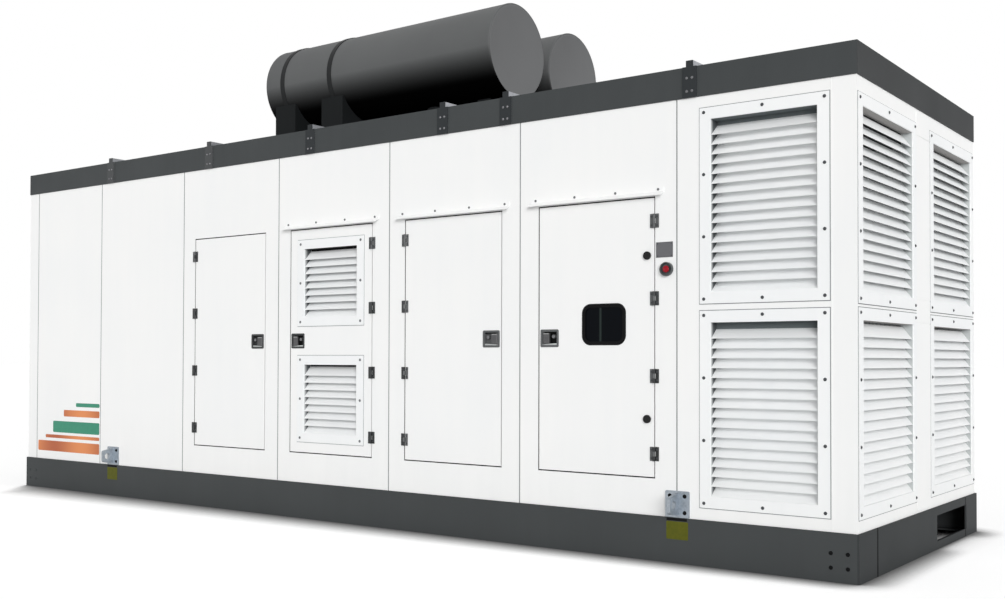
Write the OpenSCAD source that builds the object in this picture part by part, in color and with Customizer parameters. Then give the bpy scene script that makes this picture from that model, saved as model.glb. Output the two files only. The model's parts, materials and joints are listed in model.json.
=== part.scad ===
// Generator set in a weatherproof canopy: a steel skid base carries a hollow walled
// enclosure with hinged access doors, inlet and outlet louvres, lifting lugs, and two
// exhaust silencers lying on the roof.
// Frame: origin on the ground at the middle of the base, +X towards the radiator end,
// -Y towards the side with the working doors, +Z up.

/* [Overall size] */
// Length over the skid base
base_length = 8000; // [7920:10:8100]
// Width over the skid base
base_width = 2440; // [2360:10:2600]
// Height from the ground to the top of the roof
roof_height = 2950; // [2850:10:3050]
// Height of the skid base
base_height = 270; // [240:5:300]
// Height of the dark band round the roof
band_height = 185; // [140:5:190]

/* [Walls] */
// Thickness of the wall panels
wall_thickness = 60; // [54:1:80]
// How far the walls stand in from the edge of the base
wall_inset = 12; // [9:1:20]
// Width of the last bay, from its seam to the right end of the base
last_bay_width = 1100; // [1060:10:1200]
// Open seam between two panels
seam_gap = 4; // [2:1:6]
// Width of a corner post along the base
corner_post_width = 140; // [110:5:150]
// Width and depth of the posts behind the seams
seam_post_size = 60; // [40:5:80]

/* [Doors] */
// Width of a door leaf
door_width = 840; // [780:10:870]
// Height of a door leaf
door_height = 1690; // [1600:10:1720]
// Height of the lower edge of the doors above the ground
door_bottom = 500; // [450:10:560]
// Thickness of a door leaf
leaf_thickness = 45; // [35:1:50]
// Open gap all round a door leaf
door_gap = 8; // [7:1:12]
// Height of one hinge
hinge_height = 85; // [70:5:100]
// Distance between two hinges on a door
hinge_pitch = 470; // [420:10:480]
// Radius of the hinge knuckles
knuckle_radius = 8; // [6:0.5:8]
// Radius of the hinge pins
pin_radius = 4; // [3:0.5:5]
// Width of a paddle latch dish
dish_width = 140; // [125:5:160]
// Height of a paddle latch dish
dish_height = 114; // [100:2:130]

/* [Louvres] */
// Width of the flat border round each louvre
louvre_border = 66; // [55:1:70]
// Blades in each large louvre
louvre_blades = 17; // [12:1:20]
// Depth of a blade of a large louvre, from its outer to its inner edge
louvre_run = 104; // [80:2:106]
// Height of the inner edge of that blade over its outer edge
louvre_rise = 80; // [60:2:100]
// Depth of a blade of an end louvre
end_louvre_run = 62; // [50:2:106]
// Height of the inner edge of that blade over its outer edge
end_louvre_rise = 76; // [60:2:100]
// Blades in each small louvre of a door
door_louvre_blades = 9; // [6:1:10]
// Depth of a blade of a small louvre
door_louvre_run = 66; // [50:2:80]
// Height of the inner edge of that blade over its outer edge
door_louvre_rise = 68; // [50:2:80]
// Thickness of a louvre blade
blade_thickness = 4; // [3:0.5:6]

/* [Silencers] */
// Radius of a silencer body
silencer_radius = 357; // [300:1:380]
// Length of a silencer body
silencer_length = 2360; // [2100:10:2500]
// Height of the silencer axes above the roof
silencer_rise = 563; // [520:1:650]
// Distance between the two silencer axes
silencer_spacing = 910; // [840:10:1000]
// Outer radius of the exhaust pipes
exhaust_radius = 110; // [80:5:130]

/* [Lifting lugs] */
// Radius of the shackle hole in a lifting lug
lug_hole_radius = 25; // [18:1:30]
// Thickness of a lifting lug
lug_thickness = 20; // [15:1:30]
// Radius of the anchor holes in the base flanges
anchor_hole_radius = 13; // [9:1:16]

/* [Hidden] */
$fn = 64;
fit = 0.3;
pin_clearance = 0.05;

// Walls
wall_x = base_length / 2 - wall_inset;
wall_y = base_width / 2 - wall_inset;
wall_top = roof_height - band_height;
wall_height = wall_top - base_height;
bay_count = 6;
bay_width = (base_length - last_bay_width) / bay_count;
corner_x = wall_x - corner_post_width;

// Base
web_thickness = 12;
flange_width = 90;
deck_thickness = 12;
cross_member_width = 80;
cross_member_count = 6;
pocket_width = 706;
pocket_height = 166;
pocket_bottom = 50;
pocket_edge = 240;
anchor_end_distance = 400;
anchor_side_distance = 50;
anchor_x = base_length / 2 - anchor_end_distance;
anchor_y = base_width / 2 - anchor_side_distance;

// Roof
rim_thickness = 60;
rim_y = wall_y + 6;
rim_x = wall_x + 6;
roof_deck_thickness = 60;
corner_slit = 0.5;
beam_width = 45;
beam_height = 37;
beam_shares = [-0.3392, -0.1723, -0.0255, 0.1369, 0.2044, 0.3736];
beam_places = beam_shares * base_length;
end_plate_width = 92;
end_plate_thickness = 8;

// Doors: one in each of the bays 3 to 6, hinged at the left (-1) or the right (1)
door_bays = [2, 3, 4, 5];
door_shifts = [0, -16, 0, 0];
hinge_sides = [-1, 1, -1, 1];
door_top = door_bottom + door_height;
door_middle = door_bottom + door_height / 2;
opening_half = door_width / 2 + door_gap;
hinge_half_width = 30;
hinge_plate = 4;
knuckle_offset = knuckle_radius + 1;
knuckle_split = 14;
knuckle_slit = 0.5;
tongue_start = knuckle_radius + 2;
stop_thickness = 8;
stop_overlap = 20;
gutter_length = 975;
gutter_reach = 45;
gutter_plate = 3;
gutter_flange = 28;
gutter_drop = 27;

// Paddle latch
dish_margin = 10;
dish_lip = 12;
dish_plate = 3;
dish_depth = 24;
dish_wall = 2;
lock_radius = 12;
lock_depth = 2;
paddle_width = 46;
paddle_height = 66;
paddle_thickness = 6;
side_clearance = 5;
barrel_radius = 5;
barrel_depth = 2;
paddle_pin_radius = 2.5;

// Window and buffers of door 4
window_width = 294;
window_height = 236;
window_radius = 50;
window_shift = [66, 83];
gasket_width = 12;
glass_thickness = 8;
buffer_radius = 25;
buffer_height = 12;
buffer_inset = 45;
buffer_rise = 496;

// Louvres
frame_plate = 5;
sleeve_wall = 3;
sleeve_end = 2;
blade_recess = 4;
top_blade_clearance = 14;
bay_louvre_margin = 72;
bay_louvre_gap = 42;
bay_louvre_side = 151;
bay_louvre_width = last_bay_width - wall_inset - 2 * bay_louvre_side;
bay_louvre_height = (wall_height - 2 * bay_louvre_margin - bay_louvre_gap) / 2;
bay_louvre_x = (seam_x(bay_count) + wall_x) / 2;
end_strip = 296;
end_louvre_drop = 20;
end_margin = 16;
end_louvre_width = wall_y - end_margin - end_strip / 2;
end_louvre_y = end_strip / 2 + end_louvre_width / 2;
door_louvre_width = 686;
door_louvre_height = 655;
door_louvre_margin = 78;

// Lower edge of the louvre frame at a level, 0 for the lower and 1 for the upper
function louvre_z(level) = base_height + bay_louvre_margin
    + level * (bay_louvre_height + bay_louvre_gap);

// The same for the louvres of the end walls, whose upper units sit lower
function end_louvre_z(level) = louvre_z(level) - level * end_louvre_drop;

// Place along the base of a seam, counted from the left end
function seam_x(number) = -base_length / 2 + number * bay_width;

// Middle of a door along the base
function door_x(door) = seam_x(door_bays[door] + 0.5) + door_shifts[door];

// Hinge axis of a door
function hinge_x(door) = door_x(door) + hinge_sides[door] * (door_width / 2 + door_gap / 2);

hinge_y = -wall_y - knuckle_offset;
hinge_places = [-1.5, -0.5, 0.5, 1.5];

// Silencers
silencer_z = roof_height + silencer_rise;
silencer_left = -1220;
silencer_front = -390;
silencer_stagger = 90;
saddle_places = [-1020, -478];
saddle_width = 236;
saddle_half = silencer_radius * 0.86;
saddle_lip = 14;
pedestal_x = 900;
pedestal_width = 120;
pedestal_half = 100;
strap_width = 45;
strap_thickness = 4;
riser_x = 400;
outlet_length = 180;
pipe_wall = 6;
outlet_flange = 12;

// Lifting lugs and small fittings on the walls
lug_shift_left = 200;
lug_shift_right = 5;
lug_places = [seam_x(1) + lug_shift_left, seam_x(bay_count) + lug_shift_right];
lug_plate_size = 158;
lug_plate_thickness = 8;
lug_reach = 62;
lug_depth = 108;
lug_root = 134;
lug_tip = 104;
lug_corner = 20;
plate_size = [113, 2, 93];
plate_gap = 15;
plate_bottom = 1825;
stop_gap = 47;
stop_level = 1753;
shroud_radius = 42;
last_door_edge = door_x(3) + door_width / 2;
plate_place = [last_door_edge + plate_gap + plate_size[0] / 2, plate_bottom];
stop_place = [last_door_edge + stop_gap + shroud_radius, stop_level];
shroud_height = 20;
shroud_wall = 6;
shroud_floor = 3;
button_radius = 21;
button_height = 6;
stem_radius = 8;
stem_gap = 3.2;
guide_radius = 14;
guide_height = 3;
button_proud = 3;

// ---- helpers ----

// The children as drawn and again mirrored to the rear side
module front_and_rear() {
    children();
    mirror([0, 1, 0]) children();
}

// The children as drawn and again mirrored to the left end
module both_ends() {
    children();
    mirror([1, 0, 0]) children();
}

// A box from its low corner to its high corner
module box(low, high) {
    translate(low) cube(high - low);
}

// A piece of the front wall between two places along the base and two heights
module wall_piece(x0, x1, z0, z1) {
    box([x0, -wall_y, z0], [x1, -wall_y + wall_thickness, z1]);
}

// A bar along X with a flat profile drawn in the Y-Z plane
module bar_along_x(length) {
    translate([-length / 2, 0, 0])
        rotate([90, 0, 90])
            linear_extrude(length) children();
}

// A vertical plate with rounded corners, standing on its middle, facing -Y
module rounded_plate(width, height, radius, thickness) {
    translate([0, thickness, 0])
        rotate([90, 0, 0])
            linear_extrude(thickness)
                union() {
                    square([width - 2 * radius, height], center = true);
                    square([width, height - 2 * radius], center = true);
                    for (sx = [-1, 1], sz = [-1, 1])
                        translate([sx * (width / 2 - radius), sz * (height / 2 - radius)])
                            circle(radius);
                }
}

// ---- skid base ----

// One channel-shaped side rail with its web outside and two anchor holes
module side_rail() {
    outer = base_width / 2;
    end = base_length / 2 - web_thickness;
    difference() {
        box([-end, -outer, 0], [end, -outer + flange_width, base_height]);
        box([-end - 1, -outer + web_thickness, web_thickness],
            [end + 1, -outer + flange_width + 1, base_height - web_thickness]);
        for (sx = [-1, 1])
            translate([sx * anchor_x, -anchor_y, -1])
                cylinder(r = anchor_hole_radius, h = web_thickness + 2);
    }
}

module base_side_rails() {
    color("#4a4c4d") front_and_rear() side_rail();
}

// The end member closes the base over its full width and has an access pocket
module end_member() {
    outer = base_length / 2;
    half = base_width / 2 - flange_width;
    difference() {
        union() {
            box([outer - web_thickness, -base_width / 2, 0], [outer, base_width / 2, base_height]);
            box([outer - flange_width, -half, 0], [outer, half, web_thickness]);
            box([outer - flange_width, -half, base_height - web_thickness], [outer, half, base_height]);
        }
        box([outer - web_thickness - 1, pocket_edge, pocket_bottom],
            [outer + 1, pocket_edge + pocket_width, pocket_bottom + pocket_height]);
    }
}

module base_end_members() {
    color("#515253") both_ends() end_member();
}

module base_cross_members() {
    half = base_width / 2 - web_thickness;
    pitch = base_length / (cross_member_count + 1);
    color("#3c3e3f")
        for (i = [1 : cross_member_count])
            translate([-base_length / 2 + i * pitch, 0, base_height / 2])
                cube([cross_member_width, 2 * half, base_height - 2 * web_thickness], center = true);
}

module floor_plate() {
    half_x = base_length / 2 - flange_width;
    half_y = base_width / 2 - flange_width;
    color("#6f7172")
        box([-half_x, -half_y, base_height - deck_thickness], [half_x, half_y, base_height]);
}

// ---- walls ----

// The four corner posts
module corner_posts() {
    depth = end_margin + louvre_border;
    color("#f2f2f2")
        both_ends()
            front_and_rear()
                box([corner_x, -wall_y, base_height], [wall_x, -wall_y + depth, wall_top]);
}

// Posts inside the canopy that close the seams between two panels
module seam_posts() {
    inner = wall_y - wall_thickness;
    color("#d8d8d8")
        front_and_rear()
            for (number = [1 : bay_count])
                box([seam_x(number) - seam_post_size / 2, -inner, base_height],
                    [seam_x(number) + seam_post_size / 2, -inner + seam_post_size * 2 / 3,
                     roof_height - roof_deck_thickness]);
}

// The two plain bays at the left of a side wall
module plain_panels() {
    wall_piece(-corner_x + seam_gap, seam_x(1) - seam_gap / 2, base_height, wall_top);
    wall_piece(seam_x(1) + seam_gap / 2, seam_x(2) - seam_gap / 2, base_height, wall_top);
}

// The upright strips of wall beside each doorway and beside the louvres
module wall_piers() {
    louvre_half = bay_louvre_width / 2 - louvre_border;
    for (door = [0 : 3]) {
        wall_piece(seam_x(door_bays[door]) + seam_gap / 2, door_x(door) - opening_half,
                   base_height, wall_top);
        wall_piece(door_x(door) + opening_half, seam_x(door_bays[door] + 1) - seam_gap / 2,
                   base_height, wall_top);
    }
    wall_piece(seam_x(bay_count) + seam_gap / 2, bay_louvre_x - louvre_half, base_height, wall_top);
    wall_piece(bay_louvre_x + louvre_half, corner_x - seam_gap, base_height, wall_top);
}

// The pieces of wall below and above each doorway, and round the louvre openings
module wall_rails() {
    louvre_half = bay_louvre_width / 2 - louvre_border;
    left = bay_louvre_x - louvre_half;
    right = bay_louvre_x + louvre_half;
    for (door = [0 : 3]) {
        wall_piece(door_x(door) - opening_half, door_x(door) + opening_half,
                   base_height, door_bottom - door_gap);
        wall_piece(door_x(door) - opening_half, door_x(door) + opening_half,
                   door_top + door_gap, wall_top);
    }
    wall_piece(left, right, base_height, louvre_z(0) + louvre_border);
    wall_piece(left, right, louvre_z(1) - bay_louvre_gap - louvre_border, louvre_z(1) + louvre_border);
    wall_piece(left, right, louvre_z(1) + bay_louvre_height - louvre_border, wall_top);
}

module front_panels() {
    color("#f5f5f5") plain_panels();
}

module front_piers() {
    color("#f5f5f5") wall_piers();
}

module front_rails() {
    color("#f5f5f5") wall_rails();
}

module rear_panels() {
    color("#f5f5f5") mirror([0, 1, 0]) plain_panels();
}

module rear_piers() {
    color("#f5f5f5") mirror([0, 1, 0]) wall_piers();
}

module rear_rails() {
    color("#f5f5f5") mirror([0, 1, 0]) wall_rails();
}

// The upright strip in the middle of each end wall
module end_piers() {
    half = end_strip / 2 + louvre_border;
    color("#f2f2f2")
        both_ends()
            box([wall_x - wall_thickness, -half, base_height], [wall_x, half, wall_top]);
}

// The pieces of each end wall below, between and above its louvres
module end_rails() {
    near = end_strip / 2 + louvre_border;
    far = wall_y - end_margin - louvre_border;
    inner = wall_x - wall_thickness;
    middle = louvre_z(0) + bay_louvre_height - louvre_border;
    top = end_louvre_z(1) + bay_louvre_height - louvre_border;
    color("#f2f2f2")
        both_ends()
            front_and_rear() {
                box([inner, -far, base_height], [wall_x, -near, louvre_z(0) + louvre_border]);
                box([inner, -far, middle], [wall_x, -near, end_louvre_z(1) + louvre_border]);
                box([inner, -far, top], [wall_x, -near, wall_top]);
            }
}

// ---- roof ----

// The dark band round the roof, in four bars
module roof_rim() {
    color("#4a4c4d") {
        front_and_rear()
            box([-rim_x, -rim_y, wall_top], [rim_x, -rim_y + rim_thickness, roof_height]);
        both_ends()
            box([rim_x - rim_thickness, -rim_y + rim_thickness + corner_slit, wall_top],
                [rim_x, rim_y - rim_thickness - corner_slit, roof_height]);
    }
}

module roof_deck() {
    half_x = rim_x - rim_thickness;
    half_y = rim_y - rim_thickness;
    color("#5a5c5d")
        box([-half_x, -half_y, roof_height - roof_deck_thickness], [half_x, half_y, roof_height]);
}

// Cross beams over the roof, each with a bolted plate on the band at both ends
module roof_beams() {
    color("#55585a")
        for (place = beam_places) {
            box([place - beam_width / 2, -rim_y, roof_height],
                [place + beam_width / 2, rim_y, roof_height + beam_height]);
            front_and_rear() {
                box([place - end_plate_width / 2, -rim_y - end_plate_thickness, wall_top],
                    [place + end_plate_width / 2, -rim_y, roof_height]);
                box([place - beam_width / 2, -rim_y - end_plate_thickness, wall_top],
                    [place + beam_width / 2, -rim_y, roof_height + beam_height]);
            }
        }
}

// ---- louvres ----

// A louvre unit standing on its lower middle, its border plate against a wall that faces -Y
module louvre_unit(width, height, blades, run, rise) {
    open_w = width - 2 * louvre_border;
    open_h = height - 2 * louvre_border;
    inner_w = open_w - 2 * sleeve_wall;
    inner_h = open_h - 2 * sleeve_wall;
    pitch = (inner_h - rise - top_blade_clearance) / (blades - 1);
    sleeve_depth = blade_recess + run + sleeve_end;
    difference() {
        union() {
            box([-width / 2, -frame_plate, 0], [width / 2, 0, height]);
            box([-open_w / 2, -frame_plate, louvre_border], [open_w / 2, sleeve_depth, height - louvre_border]);
        }
        box([-inner_w / 2, -frame_plate - 1, louvre_border + sleeve_wall],
            [inner_w / 2, sleeve_depth + 1, height - louvre_border - sleeve_wall]);
    }
    for (blade = [0 : blades - 1])
        translate([0, blade_recess, louvre_border + sleeve_wall + blade * pitch])
            bar_along_x(inner_w)
                polygon([[0, 0], [blade_thickness, 0], [run, rise - blade_thickness],
                         [run, rise], [run - blade_thickness, rise]]);
}

// The two louvres of the last bay, on both sides
module bay_louvres() {
    color("#eceeee")
        front_and_rear()
            for (level = [0, 1])
                translate([bay_louvre_x, -wall_y, louvre_z(level)])
                    louvre_unit(bay_louvre_width, bay_louvre_height, louvre_blades,
                                louvre_run, louvre_rise);
}

// The four louvres of the right end wall
module four_end_louvres() {
    for (level = [0, 1])
        front_and_rear()
            translate([wall_x, -end_louvre_y, end_louvre_z(level)])
                rotate([0, 0, 90])
                    louvre_unit(end_louvre_width, bay_louvre_height, louvre_blades,
                                end_louvre_run, end_louvre_rise);
}

module right_end_louvres() {
    color("#e4e6e6") four_end_louvres();
}

module left_end_louvres() {
    color("#e4e6e6") mirror([1, 0, 0]) four_end_louvres();
}

// ---- exhaust ----

// Puts a piece at both silencers; the rear one is staggered to the left
module at_silencers() {
    for (row = [0, 1])
        translate([-row * silencer_stagger, silencer_front + row * silencer_spacing, 0])
            children();
}

// A cylinder along X round a silencer axis, from x0 to x1
module round_silencer(x0, x1, radius) {
    translate([x0, 0, silencer_z])
        rotate([0, 90, 0])
            cylinder(r = radius, h = x1 - x0, $fn = 128);
}

module silencers() {
    color("#5a5c5c")
        at_silencers()
            round_silencer(silencer_left, silencer_left + silencer_length, silencer_radius);
}

// Height of the top edge of a saddle, where it meets the silencer
function saddle_top() = silencer_z
    - sqrt(pow(silencer_radius + fit, 2) - pow(saddle_half, 2));

// Straps over the silencers, each ending on its saddle
module silencer_straps() {
    inner = silencer_radius + fit;
    outer = inner + strap_thickness;
    color("#2c2e2f")
        at_silencers()
            for (place = saddle_places)
                difference() {
                    round_silencer(place - strap_width / 2, place + strap_width / 2, outer);
                    round_silencer(place - strap_width, place + strap_width, inner);
                    translate([place - strap_width, -outer - 1, roof_height])
                        cube([2 * strap_width, 2 * outer + 2, saddle_top() - roof_height]);
                }
}

// A block on the roof that is hollowed on top to carry a silencer
module saddle(place, width, half, top) {
    difference() {
        box([place - width / 2, -half, roof_height], [place + width / 2, half, top]);
        round_silencer(place - width, place + width, silencer_radius + fit);
    }
}

// Two wide saddles under the straps and a narrow pedestal near the right end
module silencer_saddles() {
    color("#3f4142")
        at_silencers() {
            for (place = saddle_places)
                saddle(place, saddle_width, saddle_half + saddle_lip, saddle_top());
            saddle(pedestal_x, pedestal_width, pedestal_half, silencer_z);
        }
}

// The inlet riser under each silencer and the open outlet stub at its left end
module exhaust_pipes() {
    color("#4c4e4f")
        at_silencers() {
            difference() {
                translate([riser_x, 0, roof_height])
                    cylinder(r = exhaust_radius, h = silencer_rise);
                round_silencer(riser_x - 2 * exhaust_radius, riser_x + 2 * exhaust_radius,
                               silencer_radius + fit);
            }
            difference() {
                union() {
                    round_silencer(silencer_left - outlet_length, silencer_left, exhaust_radius);
                    round_silencer(silencer_left - outlet_flange, silencer_left, exhaust_radius + 30);
                }
                round_silencer(silencer_left - outlet_length - 1, silencer_left + 1,
                               exhaust_radius - pipe_wall);
            }
        }
}

// ---- doors ----

// The fixed half of a hinge on its axis, with the pin; side is where the leaf lies
module hinge_fixed_half(side) {
    outer = hinge_height / 2;
    for (end = [-1, 1])
        mirror([0, 0, end < 0 ? 1 : 0]) {
            translate([0, 0, knuckle_split + knuckle_slit])
                cylinder(r = knuckle_radius, h = outer - knuckle_split - knuckle_slit);
            mirror([side > 0 ? 0 : 1, 0, 0])
                box([-tongue_start - 1, knuckle_offset - hinge_plate, knuckle_split + knuckle_slit],
                    [0, knuckle_offset, outer]);
        }
    mirror([side > 0 ? 0 : 1, 0, 0])
        box([-hinge_half_width, knuckle_offset - hinge_plate, -outer],
            [-tongue_start, knuckle_offset, outer]);
    translate([0, 0, -outer]) cylinder(r = pin_radius, h = hinge_height);
}

// The half of a hinge that turns with the leaf
module hinge_moving_half(side) {
    outer = hinge_height / 2;
    difference() {
        union() {
            translate([0, 0, -knuckle_split + knuckle_slit / 2])
                cylinder(r = knuckle_radius, h = 2 * knuckle_split - knuckle_slit);
            mirror([side > 0 ? 0 : 1, 0, 0]) {
                box([0, knuckle_offset - hinge_plate, -knuckle_split + knuckle_slit / 2],
                    [tongue_start + 1, knuckle_offset, knuckle_split - knuckle_slit / 2]);
                box([tongue_start, knuckle_offset - hinge_plate, -outer],
                    [hinge_half_width, knuckle_offset, outer]);
            }
        }
        translate([0, 0, -outer - 1])
            cylinder(r = pin_radius + pin_clearance, h = hinge_height + 2);
    }
}

// The four hinge places of a door
module at_hinges(door) {
    for (step = hinge_places)
        translate([hinge_x(door), hinge_y, door_middle + step * hinge_pitch])
            children();
}

module hinge_fixed_leaves() {
    color("#3a3c3d")
        for (door = [0 : 3])
            at_hinges(door) hinge_fixed_half(-hinge_sides[door]);
}

// Where the latch of a door sits: its middle along the base
function latch_x(door) = door_x(door) - hinge_sides[door] * (door_width / 2 - dish_margin - dish_width / 2);

// The slab of a door leaf with its latch recess cut in
module leaf_slab(door) {
    difference() {
        box([door_x(door) - door_width / 2, -wall_y, door_bottom],
            [door_x(door) + door_width / 2, -wall_y + leaf_thickness, door_top]);
        translate([latch_x(door), -wall_y, door_middle])
            cube([dish_width - 2 * dish_lip, 2 * (dish_depth + fit), dish_height - 2 * dish_lip], center = true);
    }
}

// The pressed tray of a paddle latch, drawn with the door edge at +X
module latch_dish() {
    tray_w = dish_width - 2 * dish_lip;
    tray_h = dish_height - 2 * dish_lip;
    difference() {
        union() {
            translate([0, -dish_plate, 0]) rounded_plate(dish_width, dish_height, 10, dish_plate);
            box([-tray_w / 2 + fit, -dish_plate, -tray_h / 2 + fit],
                [tray_w / 2 - fit, dish_depth, tray_h / 2 - fit]);
        }
        box([-tray_w / 2 + dish_wall, -dish_plate - 1, -tray_h / 2 + dish_wall],
            [tray_w / 2 - dish_wall, dish_depth - dish_wall, tray_h / 2 - dish_wall]);
    }
    translate([-tray_w / 4, dish_depth, tray_h / 8])
        rotate([90, 0, 0])
            cylinder(r = lock_radius, h = dish_depth - lock_depth);
    translate([paddle_axis(), barrel_depth, -tray_h / 2 + dish_wall / 2])
        cylinder(r = paddle_pin_radius, h = tray_h - dish_wall);
}

// Turns a latch drawn with the door edge at +X into the place of its door
module at_latch(door) {
    translate([latch_x(door), -wall_y, door_middle])
        mirror([hinge_sides[door] > 0 ? 1 : 0, 0, 0])
            children();
}

// Where the upright axis of a paddle lies, from the middle of its latch
function paddle_axis() = dish_width / 2 - dish_lip - dish_wall - side_clearance - barrel_radius;

// The paddle lies in the dish and turns about the pin near the door edge
module latch_paddle() {
    free_end = paddle_axis() - paddle_width;
    difference() {
        union() {
            box([free_end, -dish_plate, -paddle_height / 2],
                [paddle_axis(), -dish_plate + paddle_thickness, paddle_height / 2]);
            box([free_end, -dish_plate - 1, -paddle_height / 2],
                [free_end + paddle_thickness, -dish_plate + 2 * paddle_thickness, paddle_height / 2]);
            translate([paddle_axis(), barrel_depth, -paddle_height / 2])
                cylinder(r = barrel_radius, h = paddle_height);
        }
        translate([paddle_axis(), barrel_depth, -paddle_height])
            cylinder(r = paddle_pin_radius + pin_clearance, h = 2 * paddle_height);
    }
}

// Hinge leaves and latch dish of a door
module door_hardware(door) {
    color("#3a3c3d") {
        at_hinges(door) hinge_moving_half(-hinge_sides[door]);
        at_latch(door) latch_dish();
    }
}

module door_handle(door) {
    color("#5f6162") at_latch(door) latch_paddle();
}

// Lower edges of the two small louvres of door 2
door_louvre_places = [door_bottom + door_louvre_margin,
                      door_top - door_louvre_margin - door_louvre_height];

// The openings for the two small louvres
module door_louvre_holes(door) {
    half = door_louvre_width / 2 - louvre_border;
    for (place = door_louvre_places)
        box([door_x(door) - half, -wall_y - 1, place + louvre_border],
            [door_x(door) + half, -wall_y + leaf_thickness + 1,
             place + door_louvre_height - louvre_border]);
}

module door_louvres(door) {
    for (place = door_louvre_places)
        translate([door_x(door), -wall_y, place])
            louvre_unit(door_louvre_width, door_louvre_height, door_louvre_blades,
                        door_louvre_run, door_louvre_rise);
}

// A flat window shape at the window of door 4, grown by an edge
module window_shape(edge, thickness) {
    translate([door_x(3) + window_shift[0], -wall_y, door_middle + window_shift[1]])
        rounded_plate(window_width + 2 * edge, window_height + 2 * edge, window_radius + edge, thickness);
}

module door_1_leaf() {
    color("#f5f5f5") leaf_slab(0);
}

module door_2_leaf() {
    color("#f5f5f5")
        difference() {
            leaf_slab(1);
            door_louvre_holes(1);
        }
}

module door_3_leaf() {
    color("#f5f5f5") leaf_slab(2);
}

module door_4_leaf() {
    color("#f5f5f5")
        difference() {
            leaf_slab(3);
            translate([0, -1, 0]) window_shape(0, leaf_thickness + 2);
        }
}

module door_1_hardware() {
    door_hardware(0);
}

module door_2_hardware() {
    door_hardware(1);
}

module door_3_hardware() {
    door_hardware(2);
}

// Door 4 also carries two round rubber buffers near its hinges
module door_4_hardware() {
    door_hardware(3);
    color("#111111")
        for (end = [-1, 1])
            translate([door_x(3) + door_width / 2 - buffer_inset, -wall_y, door_middle + end * buffer_rise])
                rotate([90, 0, 0])
                    cylinder(r = buffer_radius, h = buffer_height);
}

module door_1_handle() {
    door_handle(0);
}

module door_2_handle() {
    door_handle(1);
}

module door_3_handle() {
    door_handle(2);
}

module door_4_handle() {
    door_handle(3);
}

module door_2_louvres() {
    color("#eceeee") door_louvres(1);
}

module door_4_gasket() {
    color("#0e0e0e")
        difference() {
            union() {
                translate([0, -3, 0]) window_shape(gasket_width, 3);
                window_shape(0, leaf_thickness);
            }
            translate([0, -4, 0]) window_shape(-gasket_width, leaf_thickness + 5);
        }
}

module door_4_window() {
    color("#14181a")
        translate([0, 4, 0]) window_shape(-gasket_width, glass_thickness);
}

// Flat stops inside the canopy that the closed leaves rest near
module door_stops() {
    inner = -wall_y + wall_thickness;
    half = opening_half;
    color("#d0d0d0")
        for (door = [0 : 3]) {
            middle = door_x(door);
            for (side = [-1, 1])
                box([middle + side * half - stop_overlap, inner,
                     door_bottom - door_gap - stop_overlap],
                    [middle + side * half + stop_overlap, inner + stop_thickness,
                     door_top + door_gap + stop_overlap]);
            for (level = [door_bottom - door_gap, door_top + door_gap])
                box([middle - half + stop_overlap + corner_slit, inner, level - stop_overlap],
                    [middle + half - stop_overlap - corner_slit, inner + stop_thickness,
                     level + stop_overlap]);
        }
}

// The rain gutter over a doorway: a screwed flange and a sloping hood
module gutter(door) {
    bottom = door_top + door_gap + 1;
    top = gutter_drop + gutter_flange;
    translate([door_x(door), -wall_y, bottom])
        bar_along_x(gutter_length)
            polygon([[0, gutter_drop - gutter_plate], [0, top], [-gutter_plate, top],
                     [-gutter_plate, gutter_drop], [-gutter_reach, gutter_plate], [-gutter_reach, 0],
                     [-gutter_reach + gutter_plate, 0]]);
}

module door_gutters() {
    color("#f0f0f0")
        front_and_rear()
            for (door = [1 : 3])
                gutter(door);
}

// ---- fittings ----

// A bolted plate with an upright lug, its shackle hole along X
module lifting_lug() {
    size = lug_plate_size;
    translate([0, -lug_plate_thickness, size / 2])
        rounded_plate(size, size, 8, lug_plate_thickness);
    translate([0, -lug_plate_thickness, size / 2])
        rotate([0, 0, -90])
            rotate([90, 0, 0])
                linear_extrude(lug_thickness, center = true)
                    difference() {
                        hull() {
                            translate([-1, -lug_root / 2]) square([1, lug_root]);
                            for (end = [-1, 1])
                                translate([lug_depth - lug_corner, end * (lug_tip / 2 - lug_corner)])
                                    circle(lug_corner);
                        }
                        translate([lug_reach, 0]) circle(lug_hole_radius);
                    }
}

module lifting_lugs() {
    color("#a0a5b5")
        front_and_rear()
            for (place = lug_places)
                translate([place, -wall_y, base_height + 1])
                    lifting_lug();
}

module rating_plate() {
    color("#7a7a7c")
        translate([plate_place[0], -wall_y - plate_size[1] / 2, plate_place[1] + plate_size[2] / 2])
            cube(plate_size, center = true);
}

// The shroud round the emergency stop button, a cup on the wall with a stem guide
module stop_button_shroud() {
    color("#4c4f50")
        translate([stop_place[0], -wall_y, stop_place[1]])
            rotate([90, 0, 0])
                difference() {
                    cylinder(r = shroud_radius, h = shroud_height);
                    translate([0, 0, shroud_floor])
                        difference() {
                            cylinder(r = shroud_radius - shroud_wall, h = shroud_height);
                            cylinder(r = guide_radius, h = guide_height);
                        }
                    translate([0, 0, -1])
                        cylinder(r = stem_radius + pin_clearance, h = shroud_height);
                }
}

// The red push button on its stem; pressed, it moves towards the wall
module stop_button() {
    color("#8e0a1e")
        translate([stop_place[0], -wall_y, stop_place[1]])
            rotate([90, 0, 0]) {
                translate([0, 0, stem_gap])
                    cylinder(r = stem_radius, h = shroud_height - stem_gap);
                translate([0, 0, shroud_height - button_height])
                    cylinder(r = button_radius, h = button_height + button_proud);
            }
}

// ---- rear side: the same doors, shown shut ----

module rear_doors() {
    color("#f5f5f5")
        mirror([0, 1, 0])
            for (door = [0 : 3])
                leaf_slab(door);
}

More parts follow.
